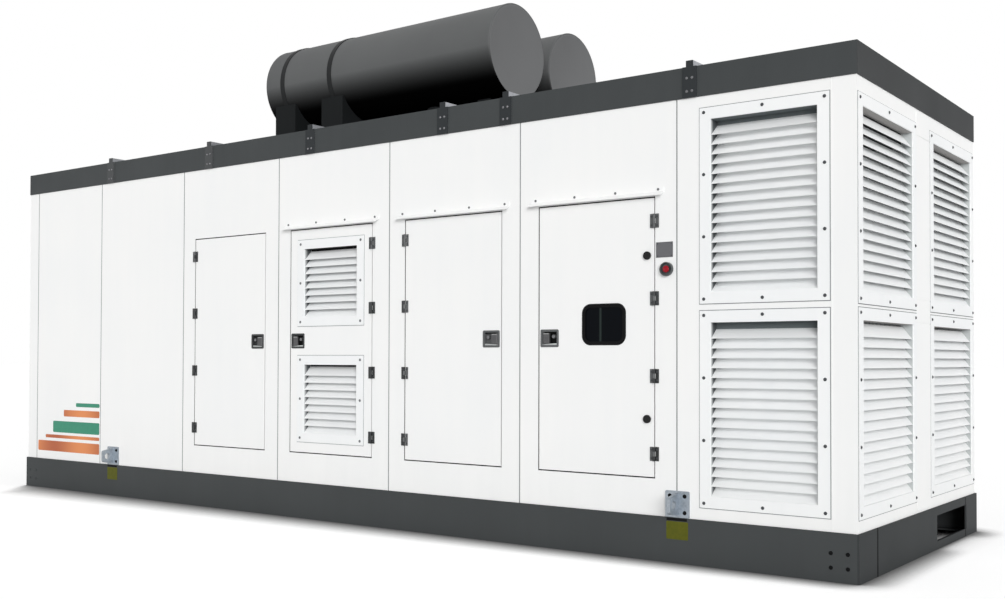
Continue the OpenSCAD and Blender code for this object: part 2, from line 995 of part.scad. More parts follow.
module rear_door_hinges() {
    color("#3a3c3d")
        mirror([0, 1, 0])
            for (door = [0 : 3])
                at_hinges(door) {
                    side = -hinge_sides[door];
                    hinge_fixed_half(side);
                    hinge_moving_half(side);
                }
}

module rear_door_latches() {
    color("#3a3c3d")
        mirror([0, 1, 0])
            for (door = [0 : 3])
                at_latch(door) {
                    latch_dish();
                    latch_paddle();
                }
}

base_side_rails();
base_end_members();
base_cross_members();
floor_plate();
corner_posts();
seam_posts();
front_panels();
front_piers();
front_rails();
rear_panels();
rear_piers();
rear_rails();
end_piers();
end_rails();
roof_rim();
roof_deck();
roof_beams();
bay_louvres();
right_end_louvres();
left_end_louvres();
silencers();
silencer_straps();
silencer_saddles();
exhaust_pipes();
door_stops();
door_gutters();
hinge_fixed_leaves();
lifting_lugs();
rating_plate();
stop_button_shroud();
stop_button();
rear_doors();
rear_door_hinges();
rear_door_latches();
door_1_leaf();
door_1_hardware();
door_1_handle();
door_2_leaf();
door_2_hardware();
door_2_handle();
door_2_louvres();
door_3_leaf();
door_3_hardware();
door_3_handle();
door_4_leaf();
door_4_hardware();
door_4_handle();
door_4_gasket();
door_4_window();
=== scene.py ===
# %% [markdown]
# # An industrial generator set in its weatherproof canopy
#
# A steel skid carries a white powder-coated enclosure eight metres long, with hinged
# access doors, big louvres, a dark band round the roof and two exhaust silencers on top.
# The sizes, walls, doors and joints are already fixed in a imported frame. This lesson
# dresses that frame: paints and metals on what is there, and then the small things that
# make it believable, such as bolts, linings, seals, sealant beads, decals and screws.
# All lengths are metres. X runs to the radiator end, -Y to the side with the doors.

# %% Load the frame and measure it
import json
import math

import bmesh
import bpy
from mathutils import Matrix, Vector

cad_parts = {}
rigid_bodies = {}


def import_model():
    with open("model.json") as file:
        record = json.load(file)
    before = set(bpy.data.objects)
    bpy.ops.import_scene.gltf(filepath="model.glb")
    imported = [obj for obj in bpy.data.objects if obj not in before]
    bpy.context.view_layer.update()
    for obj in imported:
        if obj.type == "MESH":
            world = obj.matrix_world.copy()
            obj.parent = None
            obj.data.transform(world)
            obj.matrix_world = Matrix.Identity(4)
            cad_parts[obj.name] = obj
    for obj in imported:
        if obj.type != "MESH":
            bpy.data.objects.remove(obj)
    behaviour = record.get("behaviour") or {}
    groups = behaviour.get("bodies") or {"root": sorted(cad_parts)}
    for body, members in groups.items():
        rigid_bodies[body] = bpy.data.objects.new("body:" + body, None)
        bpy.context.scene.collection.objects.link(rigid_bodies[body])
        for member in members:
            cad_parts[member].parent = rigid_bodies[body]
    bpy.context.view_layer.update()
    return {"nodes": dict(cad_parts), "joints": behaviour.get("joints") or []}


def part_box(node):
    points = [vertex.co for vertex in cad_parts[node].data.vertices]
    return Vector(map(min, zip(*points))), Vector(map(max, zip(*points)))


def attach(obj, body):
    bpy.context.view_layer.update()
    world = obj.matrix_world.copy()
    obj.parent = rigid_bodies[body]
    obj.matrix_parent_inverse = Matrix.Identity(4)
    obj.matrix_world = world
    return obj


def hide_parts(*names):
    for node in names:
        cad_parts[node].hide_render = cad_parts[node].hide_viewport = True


for leftover in list(bpy.data.objects):
    bpy.data.objects.remove(leftover)
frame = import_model()
nodes = frame["nodes"]

# %% [markdown]
# ## Places that the rest of the lesson needs
#
# Nothing is typed in twice: the wall planes, the doors and each louvre or beam are read
# from the frame. One CAD node may hold several separate solids, so a helper walks over
# connected points and gives a box for each. It works on a merged copy, because the
# frame's own meshes are loose triangles.

# %% Read places from the frame
wall_y = -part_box("front_panels")[0].y
inner_y = -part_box("front_panels")[1].y
wall_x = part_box("end_piers")[1].x
base_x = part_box("base_end_members")[1].x
base_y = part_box("base_side_rails")[1].y
base_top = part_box("base_side_rails")[1].z
band_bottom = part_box("roof_rim")[0].z
roof_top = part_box("roof_rim")[1].z
band_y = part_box("roof_rim")[1].y
wall_thickness = wall_y - inner_y
inner_x = wall_x - wall_thickness


def solids_of(node):
    """The box of each separate solid in a CAD node, as (low, high), from left to right."""
    merged = bmesh.new()
    merged.from_mesh(nodes[node].data)
    bmesh.ops.remove_doubles(merged, verts=merged.verts, dist=1e-5)
    boxes, seen = [], set()
    for first in merged.verts:
        if first in seen:
            continue
        seen.add(first)
        low, high, waiting = first.co.copy(), first.co.copy(), [first]
        while waiting:
            point = waiting.pop()
            low = Vector(map(min, low, point.co))
            high = Vector(map(max, high, point.co))
            for edge in point.link_edges:
                other = edge.other_vert(point)
                if other not in seen:
                    seen.add(other)
                    waiting.append(other)
        boxes.append((low, high))
    merged.free()
    return sorted(boxes, key=lambda b: tuple(round(c, 3) for c in b[0]))


hinge_axes = {
    joint["child"]: Vector(joint["pos_m"])
    for joint in frame["joints"]
    if joint["name"].endswith("_hinge")
}
doors = sorted(hinge_axes)
leaf_boxes = {door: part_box(door + "_leaf") for door in doors}
print("walls at y", -wall_y, "and x", wall_x, "; doors", doors)

# %% [markdown]
# ## Colours and a way to build node materials
#
# Paint charts give colours as sRGB hex values, while the shader mixes in linear light, so
# one function turns the first into the second. Another adds a node with its settings and
# links in a single line, which keeps each recipe readable. Pattern scales are written as
# real sizes in millimetres and turned into Blender's repeats per metre. Some finishes change
# over the object, as a plate under zinc does, so three more helpers read where a point lies
# and paint another tone over it.


# %% Colour, node and scale helpers
def linear(hex_colour):
    """An sRGB hex value such as 4a4c4d as linear red, green, blue and alpha."""
    parts = [int(hex_colour[i : i + 2], 16) / 255 for i in (0, 2, 4)]
    return [c / 12.92 if c <= 0.04045 else ((c + 0.055) / 1.055) ** 2.4 for c in parts] + [1]


def per_metre(millimetres):
    """The texture scale whose features are about that many millimetres wide."""
    return 1000 / millimetres


def add_node(material, kind, inputs=None, **settings):
    """Add a node with its settings; each input is given a value or another node's output."""
    tree = material.node_tree
    made = tree.nodes.new(kind)
    for name, value in settings.items():
        setattr(made, name, value)
    for socket, source in (inputs or {}).items():
        if isinstance(source, bpy.types.NodeSocket):
            tree.links.new(source, made.inputs[socket])
        else:
            made.inputs[socket].default_value = source
    return made


def start_material(name, **surface):
    """A new material with its Principled surface set, and the piece's own coordinates."""
    material = bpy.data.materials.new(name)
    material.use_nodes = True
    shader = material.node_tree.nodes["Principled BSDF"]
    for socket, value in surface.items():
        shader.inputs[socket.replace("_", " ")].default_value = value
    place = add_node(material, "ShaderNodeTexCoord").outputs["Object"]
    return material, shader, place


def link(material, source, target):
    """Join one node's output to another's input."""
    material.node_tree.links.new(source, target)


def own_place(material):
    """How far a point lies along X, Y and Z, for a finish that changes over the object."""
    place = add_node(material, "ShaderNodeTexCoord").outputs["Object"]
    return add_node(material, "ShaderNodeSeparateXYZ", {0: place}).outputs


def away_from(material, coordinate, plane):
    """How far a point lies from a plane, on either side of it."""
    offset = add_node(material, "ShaderNodeMath", {0: coordinate, 1: plane},
                      operation="SUBTRACT")
    return add_node(material, "ShaderNodeMath", {0: offset.outputs[0]},
                    operation="ABSOLUTE").outputs[0]


def paint_over(material, share, tone):
    """Lay another tone over the base colour where the share says, and give the surface."""
    shader = material.node_tree.nodes["Principled BSDF"]
    under = shader.inputs["Base Color"].links[0].from_socket
    both = add_node(material, "ShaderNodeMix", {0: share, 6: under, 7: tone},
                    data_type="RGBA")
    link(material, both.outputs[2], shader.inputs["Base Color"])
    return shader


def variant(material, name):
    """A copy of a finish under its own name, to be changed on its own."""
    changed = material.copy()
    changed.name = name
    return changed


def dress(material, *names):
    """Give the frame's own nodes a finish."""
    for name in names:
        nodes[name].data.materials.clear()
        nodes[name].data.materials.append(material)


# %% [markdown]
# ## Powder coat and enamel
#
# The canopy, the skid and the silencers are steel sheet under paint. Up close such a coat
# has a fine orange-peel skin, it is never quite one tone over a large panel, and dust
# settles along the foot. A noise of about a metre gives the cloudiness, one of a few
# millimetres gives the peel through bump, and one drawn out in height gives faint rain
# streaks. The same recipe serves each coat with its own tones, gloss and grain.


# %% A recipe for sprayed and baked paint
def sprayed_paint(name, tone, shade, gloss, peel_mm, dust=None, dust_share=0.0, streaks=0.35,
                  specular=0.5):
    """Paint between two tones; gloss is roughness, and dust tints the lowest half metre."""
    material, shader, place = start_material(name, Roughness=gloss,
                                             Specular_IOR_Level=specular)
    cloud = add_node(material, "ShaderNodeTexNoise",
                     {"Vector": place, "Scale": per_metre(900), "Detail": 2.0})
    tall = add_node(material, "ShaderNodeMapping",
                    {"Vector": place, "Scale": (9.0, 9.0, 0.7)})
    rain = add_node(material, "ShaderNodeTexNoise",
                    {"Vector": tall.outputs[0], "Scale": per_metre(700), "Detail": 5.0})
    both = add_node(material, "ShaderNodeMix",
                    {"Factor": streaks, "A": cloud.outputs[0], "B": rain.outputs[0]})
    spread = add_node(material, "ShaderNodeMapRange",
                      {0: both.outputs[0], 1: 0.3, 2: 0.7})
    colour = add_node(material, "ShaderNodeMix",
                      {0: spread.outputs[0], 6: linear(tone), 7: linear(shade)},
                      data_type="RGBA")
    result = colour.outputs[2]
    if dust:
        height = add_node(material, "ShaderNodeSeparateXYZ", {0: place})
        low_down = add_node(material, "ShaderNodeMapRange",
                            {0: height.outputs[2], 1: 0.75, 2: 0.25, 3: 0.0, 4: dust_share})
        patchy = add_node(material, "ShaderNodeMath",
                          {0: low_down.outputs[0], 1: rain.outputs[0]}, operation="MULTIPLY")
        dusty = add_node(material, "ShaderNodeMix",
                         {0: patchy.outputs[0], 6: result, 7: linear(dust)}, data_type="RGBA")
        result = dusty.outputs[2]
    link(material, result, shader.inputs["Base Color"])
    peel = add_node(material, "ShaderNodeTexNoise",
                    {"Vector": place, "Scale": per_metre(peel_mm), "Detail": 3.0})
    sheen = add_node(material, "ShaderNodeMapRange",
                     {0: cloud.outputs[0], 1: 0.3, 2: 0.7, 3: gloss - 0.05, 4: gloss + 0.07})
    link(material, sheen.outputs[0], shader.inputs["Roughness"])
    bump = add_node(material, "ShaderNodeBump",
                    {"Strength": 0.12, "Distance": 0.0006, "Height": peel.outputs[0]})
    link(material, bump.outputs[0], shader.inputs["Normal"])
    return material


# %% [markdown]
# ### The coats of this canopy
#
# Semi-gloss polyester powder coat for the walls, a slightly cooler one for the louvres,
# two-pack epoxy in anthracite for skid and roof band, and heat-proof silicone paint for
# the silencers, which is flatter and a little mottled from the first hot run. Sealants
# are matt and grey, and so close in make-up that the same recipe serves them too.

# %% Mix the coats
white_powder_coat = sprayed_paint("white_polyester_powder_coat", "f6f6f5", "f2f3f3", 0.42, 6,
                                  dust="e4e3de", dust_share=0.2)
louvre_powder_coat = sprayed_paint("louvre_powder_coat", "f6f7f7", "f0f2f3", 0.45, 6,
                                   dust="e2e1dc", dust_share=0.2)
anthracite_epoxy = sprayed_paint("anthracite_epoxy", "454849", "404344", 0.6, 8,
                                 dust="4b4c4b", dust_share=0.2, specular=0.14)
# The skid ends take a darker copy of the anthracite epoxy: painted shade on the ends.
skid_end_epoxy = sprayed_paint("skid_end_epoxy", "3e4041", "393c3d", 0.65, 8,
                               dust="4b4c4b", dust_share=0.2, specular=0.06)
# The silencer paint is mixed twice; this lighter copy, on the end discs, is painted light.
heatproof_silicone = sprayed_paint("heatproof_silicone_paint", "6e6f70", "696a6b", 0.62, 10,
                                   streaks=0.15, specular=0.2)
# The shells take this darker copy of the silencer paint, which fades to black below: painted
# shade.
silicone_with_painted_shade_below = sprayed_paint("heatproof_silicone_paint_sooted_below", "5f6161", "5a5b5c",
                                0.62, 10, streaks=0.15, specular=0.2)
black_strap_enamel = sprayed_paint("black_strap_enamel", "1c1e1f", "18191a", 0.55, 6,
                                   specular=0.2)
# Saddles, exhaust pipes and riser collars share a near-black enamel: painted shade for the
# silencers' shadow.
saddle_enamel = sprayed_paint("saddle_enamel", "1c1e1f", "17191a", 0.6, 8, specular=0.08)
floor_enamel = sprayed_paint("floor_enamel", "686a6b", "5b5d5e", 0.55, 8)
lining_white = sprayed_paint("inner_frame_powder_coat", "dededc", "d3d4d3", 0.5, 6)
joint_sealant = sprayed_paint("grey_joint_sealant", "7e8183", "767a7c", 0.7, 3, specular=0.2)
fine_sealant = sprayed_paint("pale_joint_sealant", "a4a7a8", "9a9d9f", 0.7, 3, specular=0.2)
print("coats mixed:", len(bpy.data.materials))

# %% [markdown]
# ## Cast zinc, nickel and galvanised steel
#
# The hinges and latch trays are die-cast zinc under a black or grey skin, the paddles are
# satin nickel over zinc, and the lifting plates are hot-dip galvanised, which freezes into
# flakes called spangle. Cells of about twelve millimetres, each a little lighter or darker
# than the next, are what the eye takes for spangle. The black skin of the hinges is painted
# paler with height, so the upper hinges are lighter.

# %% Metals of the fittings
hinge_black = sprayed_paint("black_die_cast_zinc", "2c2d2e", "282a2b", 0.5, 3, specular=0.3)
tray_black = sprayed_paint("latch_tray_zinc", "646667", "585a5b", 0.45, 3, specular=0.3)
dark_tray = sprayed_paint("dark_latch_tray_zinc", "3a3c3d", "303233", 0.45, 3, specular=0.3)
black_bolt_paint = sprayed_paint("black_bolt_paint", "0c0d0e", "08090a", 0.6, 3, specular=0.1)
# The next two are painted highlights: pale plating for the finger scoops, pale nickel for the
# paddles' top edges.
plating_with_painted_highlight = sprayed_paint("pale_zinc_plating", "c4c8c7", "b4b8b7", 0.45, 3, specular=0.3)
nickel_with_painted_highlight = sprayed_paint("dull_nickel_plating", "9e9e9e", "909090", 0.4, 3, specular=0.3)
# The hinge skin is painted paler between these two heights.
paler_from, palest_at = 1.1, 2.35
height_share = add_node(hinge_black, "ShaderNodeMapRange",
                   {0: own_place(hinge_black)[2], 1: paler_from, 2: palest_at})
paler_share = add_node(hinge_black, "ShaderNodeMath",
                    {0: height_share.outputs[0], 1: 2.0}, operation="POWER")
paint_over(hinge_black, paler_share.outputs[0], linear("6c6e6f"))


def spangled_zinc(name, tone, shade, flake_mm, roughness):
    """Hot-dip galvanised steel between two tones, with flakes of that size."""
    material, shader, place = start_material(name, Metallic=0.85)
    flakes = add_node(material, "ShaderNodeTexVoronoi",
                      {"Vector": place, "Scale": per_metre(flake_mm)})
    grey = add_node(material, "ShaderNodeRGBToBW", {0: flakes.outputs["Color"]})
    stain = add_node(material, "ShaderNodeTexNoise",
                     {"Vector": place, "Scale": per_metre(60), "Detail": 4.0})
    mixed = add_node(material, "ShaderNodeMix",
                     {"Factor": 0.45, "A": grey.outputs[0], "B": stain.outputs[0]})
    colour = add_node(material, "ShaderNodeMix",
                      {0: mixed.outputs[0], 6: linear(tone), 7: linear(shade)},
                      data_type="RGBA")
    link(material, colour.outputs[2], shader.inputs["Base Color"])
    rough = add_node(material, "ShaderNodeMapRange",
                     {0: grey.outputs[0], 3: roughness - 0.08, 4: roughness + 0.08})
    link(material, rough.outputs[0], shader.inputs["Roughness"])
    bump = add_node(material, "ShaderNodeBump",
                    {"Strength": 0.15, "Distance": 0.0005, "Height": stain.outputs[0]})
    link(material, bump.outputs[0], shader.inputs["Normal"])
    return material


galvanised_steel = spangled_zinc("hot_dip_galvanised_steel", "abb2ba", "8d959c", 12, 0.42)
beam_galvanised = spangled_zinc("galvanised_beam_steel", "b9bbc0", "a2a4a8", 14, 0.5)
print("zinc finishes ready")

# %% [markdown]
# Satin nickel and anodised aluminium are brushed: the scratches all run one way, so the
# noise is stretched along that way before it drives the tone, the gloss and the bump.


# %% A recipe for brushed metal
def brushed_metal(name, tone, shade, metallic, roughness, stretch, grain_mm):
    """Metal with scratches along the axis whose stretch is the small number."""
    material, shader, place = start_material(name, Metallic=metallic)
    along = add_node(material, "ShaderNodeMapping", {"Vector": place, "Scale": stretch})
    grain = add_node(material, "ShaderNodeTexNoise",
                     {"Vector": along.outputs[0], "Scale": per_metre(grain_mm), "Detail": 4.0})
    colour = add_node(material, "ShaderNodeMix",
                      {0: grain.outputs[0], 6: linear(tone), 7: linear(shade)},
                      data_type="RGBA")
    link(material, colour.outputs[2], shader.inputs["Base Color"])
    rough = add_node(material, "ShaderNodeMapRange",
                     {0: grain.outputs[0], 3: roughness - 0.06, 4: roughness + 0.1})
    link(material, rough.outputs[0], shader.inputs["Roughness"])
    bump = add_node(material, "ShaderNodeBump",
                    {"Strength": 0.1, "Distance": 0.0003, "Height": grain.outputs[0]})
    link(material, bump.outputs[0], shader.inputs["Normal"])
    return material


satin_nickel = brushed_metal("satin_nickel", "626263", "565658", 0.75, 0.4, (1, 1, 0.06), 1.5)
lock_nickel = brushed_metal("bright_nickel", "7a7a7c", "6c6c6f", 0.8, 0.32, (1, 1, 1), 3)
grey_anodised = brushed_metal("grey_anodised_aluminium", "68686b", "5e5e62", 0.3, 0.45,
                              (0.05, 1, 1), 2)
bolt_steel = brushed_metal("black_oxide_bolt_steel", "4c4e51", "3c3e41", 0.5, 0.42,
                           (1, 1, 1), 4)
screw_steel = brushed_metal("zinc_plated_screw_steel", "7c7e80", "606264", 0.7, 0.36,
                            (1, 1, 1), 4)
print("brushed metals ready")

# %% [markdown]
# ## Rubber, plastics, glass, cloth and film
#
# Each of these is nearly one colour, and lives by its gloss and its finest texture. EPDM
# rubber is dull with a faint skin, moulded ABS has a spark-eroded grain, the push button
# is smooth and glossy, glass cloth and felt are dull and fibrous, and cut vinyl film is
# flat with a soft sheen. The copper film also shades along its length, as metallic ink does.


# %% A recipe for moulded, woven and cut materials
def plain_skin(name, tone, shade, roughness, grain_mm, depth_mm, **surface):
    """A nearly even material whose grain of that size stands that deep."""
    material, shader, place = start_material(name, **surface)
    grain = add_node(material, "ShaderNodeTexNoise",
                     {"Vector": place, "Scale": per_metre(grain_mm), "Detail": 3.0})
    colour = add_node(material, "ShaderNodeMix",
                      {0: grain.outputs[0], 6: linear(tone), 7: linear(shade)},
                      data_type="RGBA")
    link(material, colour.outputs[2], shader.inputs["Base Color"])
    rough = add_node(material, "ShaderNodeMapRange",
                     {0: grain.outputs[0], 3: roughness - 0.04, 4: roughness + 0.05})
    link(material, rough.outputs[0], shader.inputs["Roughness"])
    bump = add_node(material, "ShaderNodeBump",
                    {"Strength": 0.4, "Distance": depth_mm / 1000, "Height": grain.outputs[0]})
    link(material, bump.outputs[0], shader.inputs["Normal"])
    return material


epdm_rubber = plain_skin("epdm_rubber", "0d0e0f", "080809", 0.65, 3, 0.1,
                         Specular_IOR_Level=0.12)
# The sleeve felt and the two primers line the louvre sleeves as painted shade; the grey primer,
# on the tops, is the darker.
sleeve_felt = plain_skin("dark_sleeve_felt", "6a7173", "5d6466", 0.8, 2, 0.2,
                         Specular_IOR_Level=0.15)
sleeve_primer = plain_skin("grey_sleeve_primer", "a3a19f", "9a9896", 0.7, 2, 0.1,
                           Specular_IOR_Level=0.15)
pale_primer = plain_skin("pale_sleeve_primer", "bcc0c0", "b2b6b6", 0.7, 2, 0.1,
                         Specular_IOR_Level=0.15)
shroud_abs = plain_skin("moulded_abs_shroud", "4b4f50", "424647", 0.45, 2, 0.05)
stop_button_plastic = plain_skin("glossy_red_polycarbonate", "a00a20", "8a0617", 0.22, 8, 0.01,
                                 Specular_IOR_Level=0.25)
stone_wool_cloth = plain_skin("glass_cloth_facing", "3a3b3c", "2b2c2d", 0.85, 2, 0.2)
wire_mesh_steel = plain_skin("painted_wire_mesh", "3b3f41", "2f3335", 0.6, 3, 0.05)
olive_enamel = plain_skin("olive_marker_enamel", "5f5e12", "474d12", 0.55, 22, 0.05,
                          Specular_IOR_Level=0.2)
green_film = plain_skin("green_vinyl_film", "1f8b6c", "1a7d60", 0.35, 30, 0.02)
tinted_glass = plain_skin("tinted_safety_glass", "06090e", "03060b", 0.06, 400, 0.002,
                          Specular_IOR_Level=0.06)
print("materials so far:", len(bpy.data.materials))

# %% Copper film that shades along its length
copper_film, shader, place = start_material("copper_vinyl_film", Metallic=0.15)
radians_per_metre = 7.5
wave = add_node(copper_film, "ShaderNodeMath",
                {0: own_place(copper_film)[0], 1: radians_per_metre}, operation="MULTIPLY")
swing = add_node(copper_film, "ShaderNodeMath", {0: wave.outputs[0]}, operation="SINE")
share = add_node(copper_film, "ShaderNodeMapRange", {0: swing.outputs[0], 1: -1.0, 2: 1.0})
fleck = add_node(copper_film, "ShaderNodeTexNoise",
                 {"Vector": place, "Scale": per_metre(5), "Detail": 2.0})
copper_tone = add_node(copper_film, "ShaderNodeMix",
                       {0: share.outputs[0], 6: linear("b0582c"), 7: linear("e08a4f")},
                       data_type="RGBA")
rough = add_node(copper_film, "ShaderNodeMapRange", {0: fleck.outputs[0], 3: 0.3, 4: 0.42})
link(copper_film, copper_tone.outputs[2], shader.inputs["Base Color"])
link(copper_film, rough.outputs[0], shader.inputs["Roughness"])
print("film colours ready")

# %% [markdown]
# ## Dressing the frame's own nodes
#
# A CAD node keeps its exact shape, so a better material on its slots is all it needs. Some
# nodes carry two finishes. The roof beams are galvanised between dark end plates, so their
# material looks at how far a point lies from the middle of the roof; the two beams at the
# left have plates of a paler coat. The last door has rubber buffers among its zinc parts,
# its glass carries a painted reflection, a faint upright streak, and the end boards of the
# roof band are painted one tone darker, which is painted shade. The skid ends carry the same
# kind of painted shade, and have an upright joint where a corner piece meets the end plate,
# drawn as a thin groove.

# %% Give each node its finish
finishes = {
    white_powder_coat: ["corner_posts", "front_panels", "front_piers", "front_rails",
                        "rear_panels", "rear_piers", "rear_rails", "end_piers", "end_rails",
                        "door_gutters", "rear_doors"] + [door + "_leaf" for door in doors],
    louvre_powder_coat: ["bay_louvres", "right_end_louvres", "left_end_louvres",
                         "door_2_louvres"],
    anthracite_epoxy: ["base_side_rails", "base_cross_members", "roof_deck"],
    lining_white: ["seam_posts", "door_stops"],
    floor_enamel: ["floor_plate"],
    heatproof_silicone: ["silencers"],
    black_strap_enamel: ["silencer_straps"],
    saddle_enamel: ["silencer_saddles", "exhaust_pipes"],
    hinge_black: ["hinge_fixed_leaves", "rear_door_hinges"],
    tray_black: ["rear_door_latches", "door_3_hardware"],
    dark_tray: ["door_1_hardware", "door_2_hardware"],
    satin_nickel: [door + "_handle" for door in doors],
    galvanised_steel: ["lifting_lugs"],
    grey_anodised: ["rating_plate"],
    shroud_abs: ["stop_button_shroud"],
    stop_button_plastic: ["stop_button"],
    epdm_rubber: ["door_4_gasket"],
    tinted_glass: ["door_4_window"],
}
for material, names in finishes.items():
    dress(material, *names)
print("nodes dressed:", sum(len(names) for names in finishes.values()))

# %% Beams in two finishes
two_finish_beams = variant(beam_galvanised, "galvanised_beam_with_painted_plates")
along, across = own_place(two_finish_beams)[:2]
outward = away_from(two_finish_beams, across, 0.0)
plate = add_node(two_finish_beams, "ShaderNodeMath",
                 {0: outward, 1: band_y + 0.0005}, operation="GREATER_THAN")
leftward = add_node(two_finish_beams, "ShaderNodeMath",
                    {0: along, 1: -1.0}, operation="LESS_THAN")
plate_paint = add_node(two_finish_beams, "ShaderNodeMix",
                       {0: leftward.outputs[0], 6: linear("2e3133"), 7: linear("4a4c4d")},
                       data_type="RGBA")
metal = add_node(two_finish_beams, "ShaderNodeMapRange",
                 {0: plate.outputs[0], 3: 0.6, 4: 0.0})
shader = paint_over(two_finish_beams, plate.outputs[0], plate_paint.outputs[2])
shader.inputs["Specular IOR Level"].default_value = 0.15
link(two_finish_beams, metal.outputs[0], shader.inputs["Metallic"])
dress(two_finish_beams, "roof_beams")

# %% Rubber buffers on the last door
buffer_metal = variant(tray_black, "latch_tray_zinc_with_rubber_buffers")
door_middle = (leaf_boxes["door_4"][0].z + leaf_boxes["door_4"][1].z) / 2
buffer_rise, buffer_reach = 0.496, 0.030
from_middle = away_from(buffer_metal, own_place(buffer_metal)[2], door_middle)
rubbery = add_node(buffer_metal, "ShaderNodeMath",
                   {0: away_from(buffer_metal, from_middle, buffer_rise), 1: buffer_reach},
                   operation="LESS_THAN")
paint_over(buffer_metal, rubbery.outputs[0], linear("020202"))
dress(buffer_metal, "door_4_hardware")

# %% Glass with a painted reflection, a faint upright streak
glass_low, glass_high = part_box("door_4_window")
reflection_streak_x = glass_low.x + 0.40 * (glass_high.x - glass_low.x)
streak_far, streak_near = 0.011, 0.003
streak_share = add_node(tinted_glass, "ShaderNodeMapRange",
                      {0: away_from(tinted_glass, own_place(tinted_glass)[0], reflection_streak_x),
                       1: streak_far, 2: streak_near})
paint_over(tinted_glass, streak_share.outputs[0], linear("2b3331"))

# %% Roof band with painted shade on its end boards, one tone darker
rim_with_shaded_ends = variant(anthracite_epoxy, "anthracite_epoxy_with_dull_end_boards")
shaded_end = add_node(rim_with_shaded_ends, "ShaderNodeMath",
                  {0: away_from(rim_with_shaded_ends, own_place(rim_with_shaded_ends)[0], 0.0),
                   1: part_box("roof_rim")[1].x - 0.001}, operation="GREATER_THAN")
paint_over(rim_with_shaded_ends, shaded_end.outputs[0], linear("323435"))
dress(rim_with_shaded_ends, "roof_rim")

# %% Skid ends, painted one shade darker as painted shade, with their corner joint
jointed_end = variant(skid_end_epoxy, "skid_end_epoxy_with_corner_joint")
joint_y, joint_half = 0.92, 0.011
outward = away_from(jointed_end, own_place(jointed_end)[1], 0.0)
groove = add_node(jointed_end, "ShaderNodeMath",
                  {0: away_from(jointed_end, outward, joint_y), 1: joint_half},
                  operation="LESS_THAN")
paint_over(jointed_end, groove.outputs[0], linear("0c0d0e"))
dress(jointed_end, "base_end_members")
print("beams and skid ends done")

# %% [markdown]
# ## Helpers for modelling by hand
#
# The pieces are modelled as in the viewport: add a primitive at its size and place, enter
# edit mode, choose faces or edges, and inset, bevel or extrude them. Loading the frame
# leaves everything selected, so each start clears the selection. `choose` selects by a
# test on the centre and direction, which is how a script points at a face. Rings and thin
# sheets come up so often that they share one helper: a plane whose corners are bevelled,
# whose middle is dropped where a ring is wanted, and which is then extruded to its rise.


# %% Select, start and finish
def clear_selection():
    """Leave edit mode and select nothing."""
    if bpy.context.object and bpy.context.object.mode != "OBJECT":
        bpy.ops.object.mode_set(mode="OBJECT")
    bpy.ops.object.select_all(action="DESELECT")


def settle(piece):
    """Put the piece's place, turn and scale into its mesh."""
    clear_selection()
    piece.select_set(True)
    bpy.context.view_layer.objects.active = piece
    bpy.ops.object.transform_apply(location=True, rotation=True, scale=True)
    return piece


def block(low, high):
    """A block between two corners, ready to be shaped."""
    clear_selection()
    low, high = Vector(low), Vector(high)
    bpy.ops.mesh.primitive_cube_add(size=1, location=(low + high) / 2)
    bpy.context.object.scale = high - low
    return settle(bpy.context.object)


def rod(centre, radius, length, axis="Y", sides=24):
    """A round bar along X, Y or Z, ready to be shaped."""
    clear_selection()
    turns = {"X": (0, math.pi / 2, 0), "Y": (math.pi / 2, 0, 0), "Z": (0, 0, 0)}
    bpy.ops.mesh.primitive_cylinder_add(vertices=sides, radius=radius, depth=length,
                                        location=centre, rotation=turns[axis])
    return settle(bpy.context.object)


def choose(piece, faces=None, edges=None):
    """Enter edit mode with the faces, or the edges, that pass the test selected."""
    clear_selection()
    piece.select_set(True)
    bpy.context.view_layer.objects.active = piece
    bpy.ops.object.mode_set(mode="EDIT")
    bpy.ops.mesh.select_mode(type="FACE" if faces else "EDGE")
    bpy.ops.mesh.select_all(action="DESELECT")
    bpy.ops.object.mode_set(mode="OBJECT")
    mesh = piece.data
    if faces:
        for face in mesh.polygons:
            face.select = faces(face.center, face.normal)
    else:
        for edge in mesh.edges:
            one, two = (mesh.vertices[i].co for i in edge.vertices)
            edge.select = edges((one + two) / 2, two - one)
    bpy.ops.object.mode_set(mode="EDIT")


def join(parts):
    """Join several meshes into the first."""
    clear_selection()
    for part in parts:
        part.select_set(True)
    bpy.context.view_layer.objects.active = parts[0]
    if len(parts) > 1:
        bpy.ops.object.join()
    return bpy.context.view_layer.objects.active


def finish(piece, name, material, body="canopy", smooth=35, replaces=()):
    """Name the piece, paint it, smooth its soft edges and let it ride on its body."""
    settle(piece)
    piece.name = piece.data.name = name
    piece.data.materials.clear()
    piece.data.materials.append(material)
    bpy.ops.object.shade_smooth_by_angle(angle=math.radians(smooth))
    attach(piece, body)
    if replaces:
        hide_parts(*replaces)
    print(name, "faces", len(piece.data.polygons))
    return piece


FRONT, RIGHT, REAR, LEFT = 0.0, math.pi / 2, math.pi, -math.pi / 2


def copies(template, spots):
    """Copies of a template modelled facing -Y, one for each (place, turn), joined into one."""
    made = []
    for place, turn in spots:
        copy = template.copy()
        copy.data = template.data.copy()
        copy.data.transform(Matrix.Translation(place) @ Matrix.Rotation(turn, 4, "Z"))
        bpy.context.collection.objects.link(copy)
        made.append(copy)
    return join(made)


def rear_copy(piece):
    """A copy of a front piece mirrored to the rear side, its faces turned out again."""
    copy = piece.copy()
    copy.data = piece.data.copy()
    copy.data.transform(Matrix.Scale(-1, 4, Vector((0, 1, 0))))
    bpy.context.collection.objects.link(copy)
    choose(copy, faces=lambda c, n: True)
    bpy.ops.mesh.normals_make_consistent(inside=False)
    bpy.ops.object.mode_set(mode="OBJECT")
    return copy


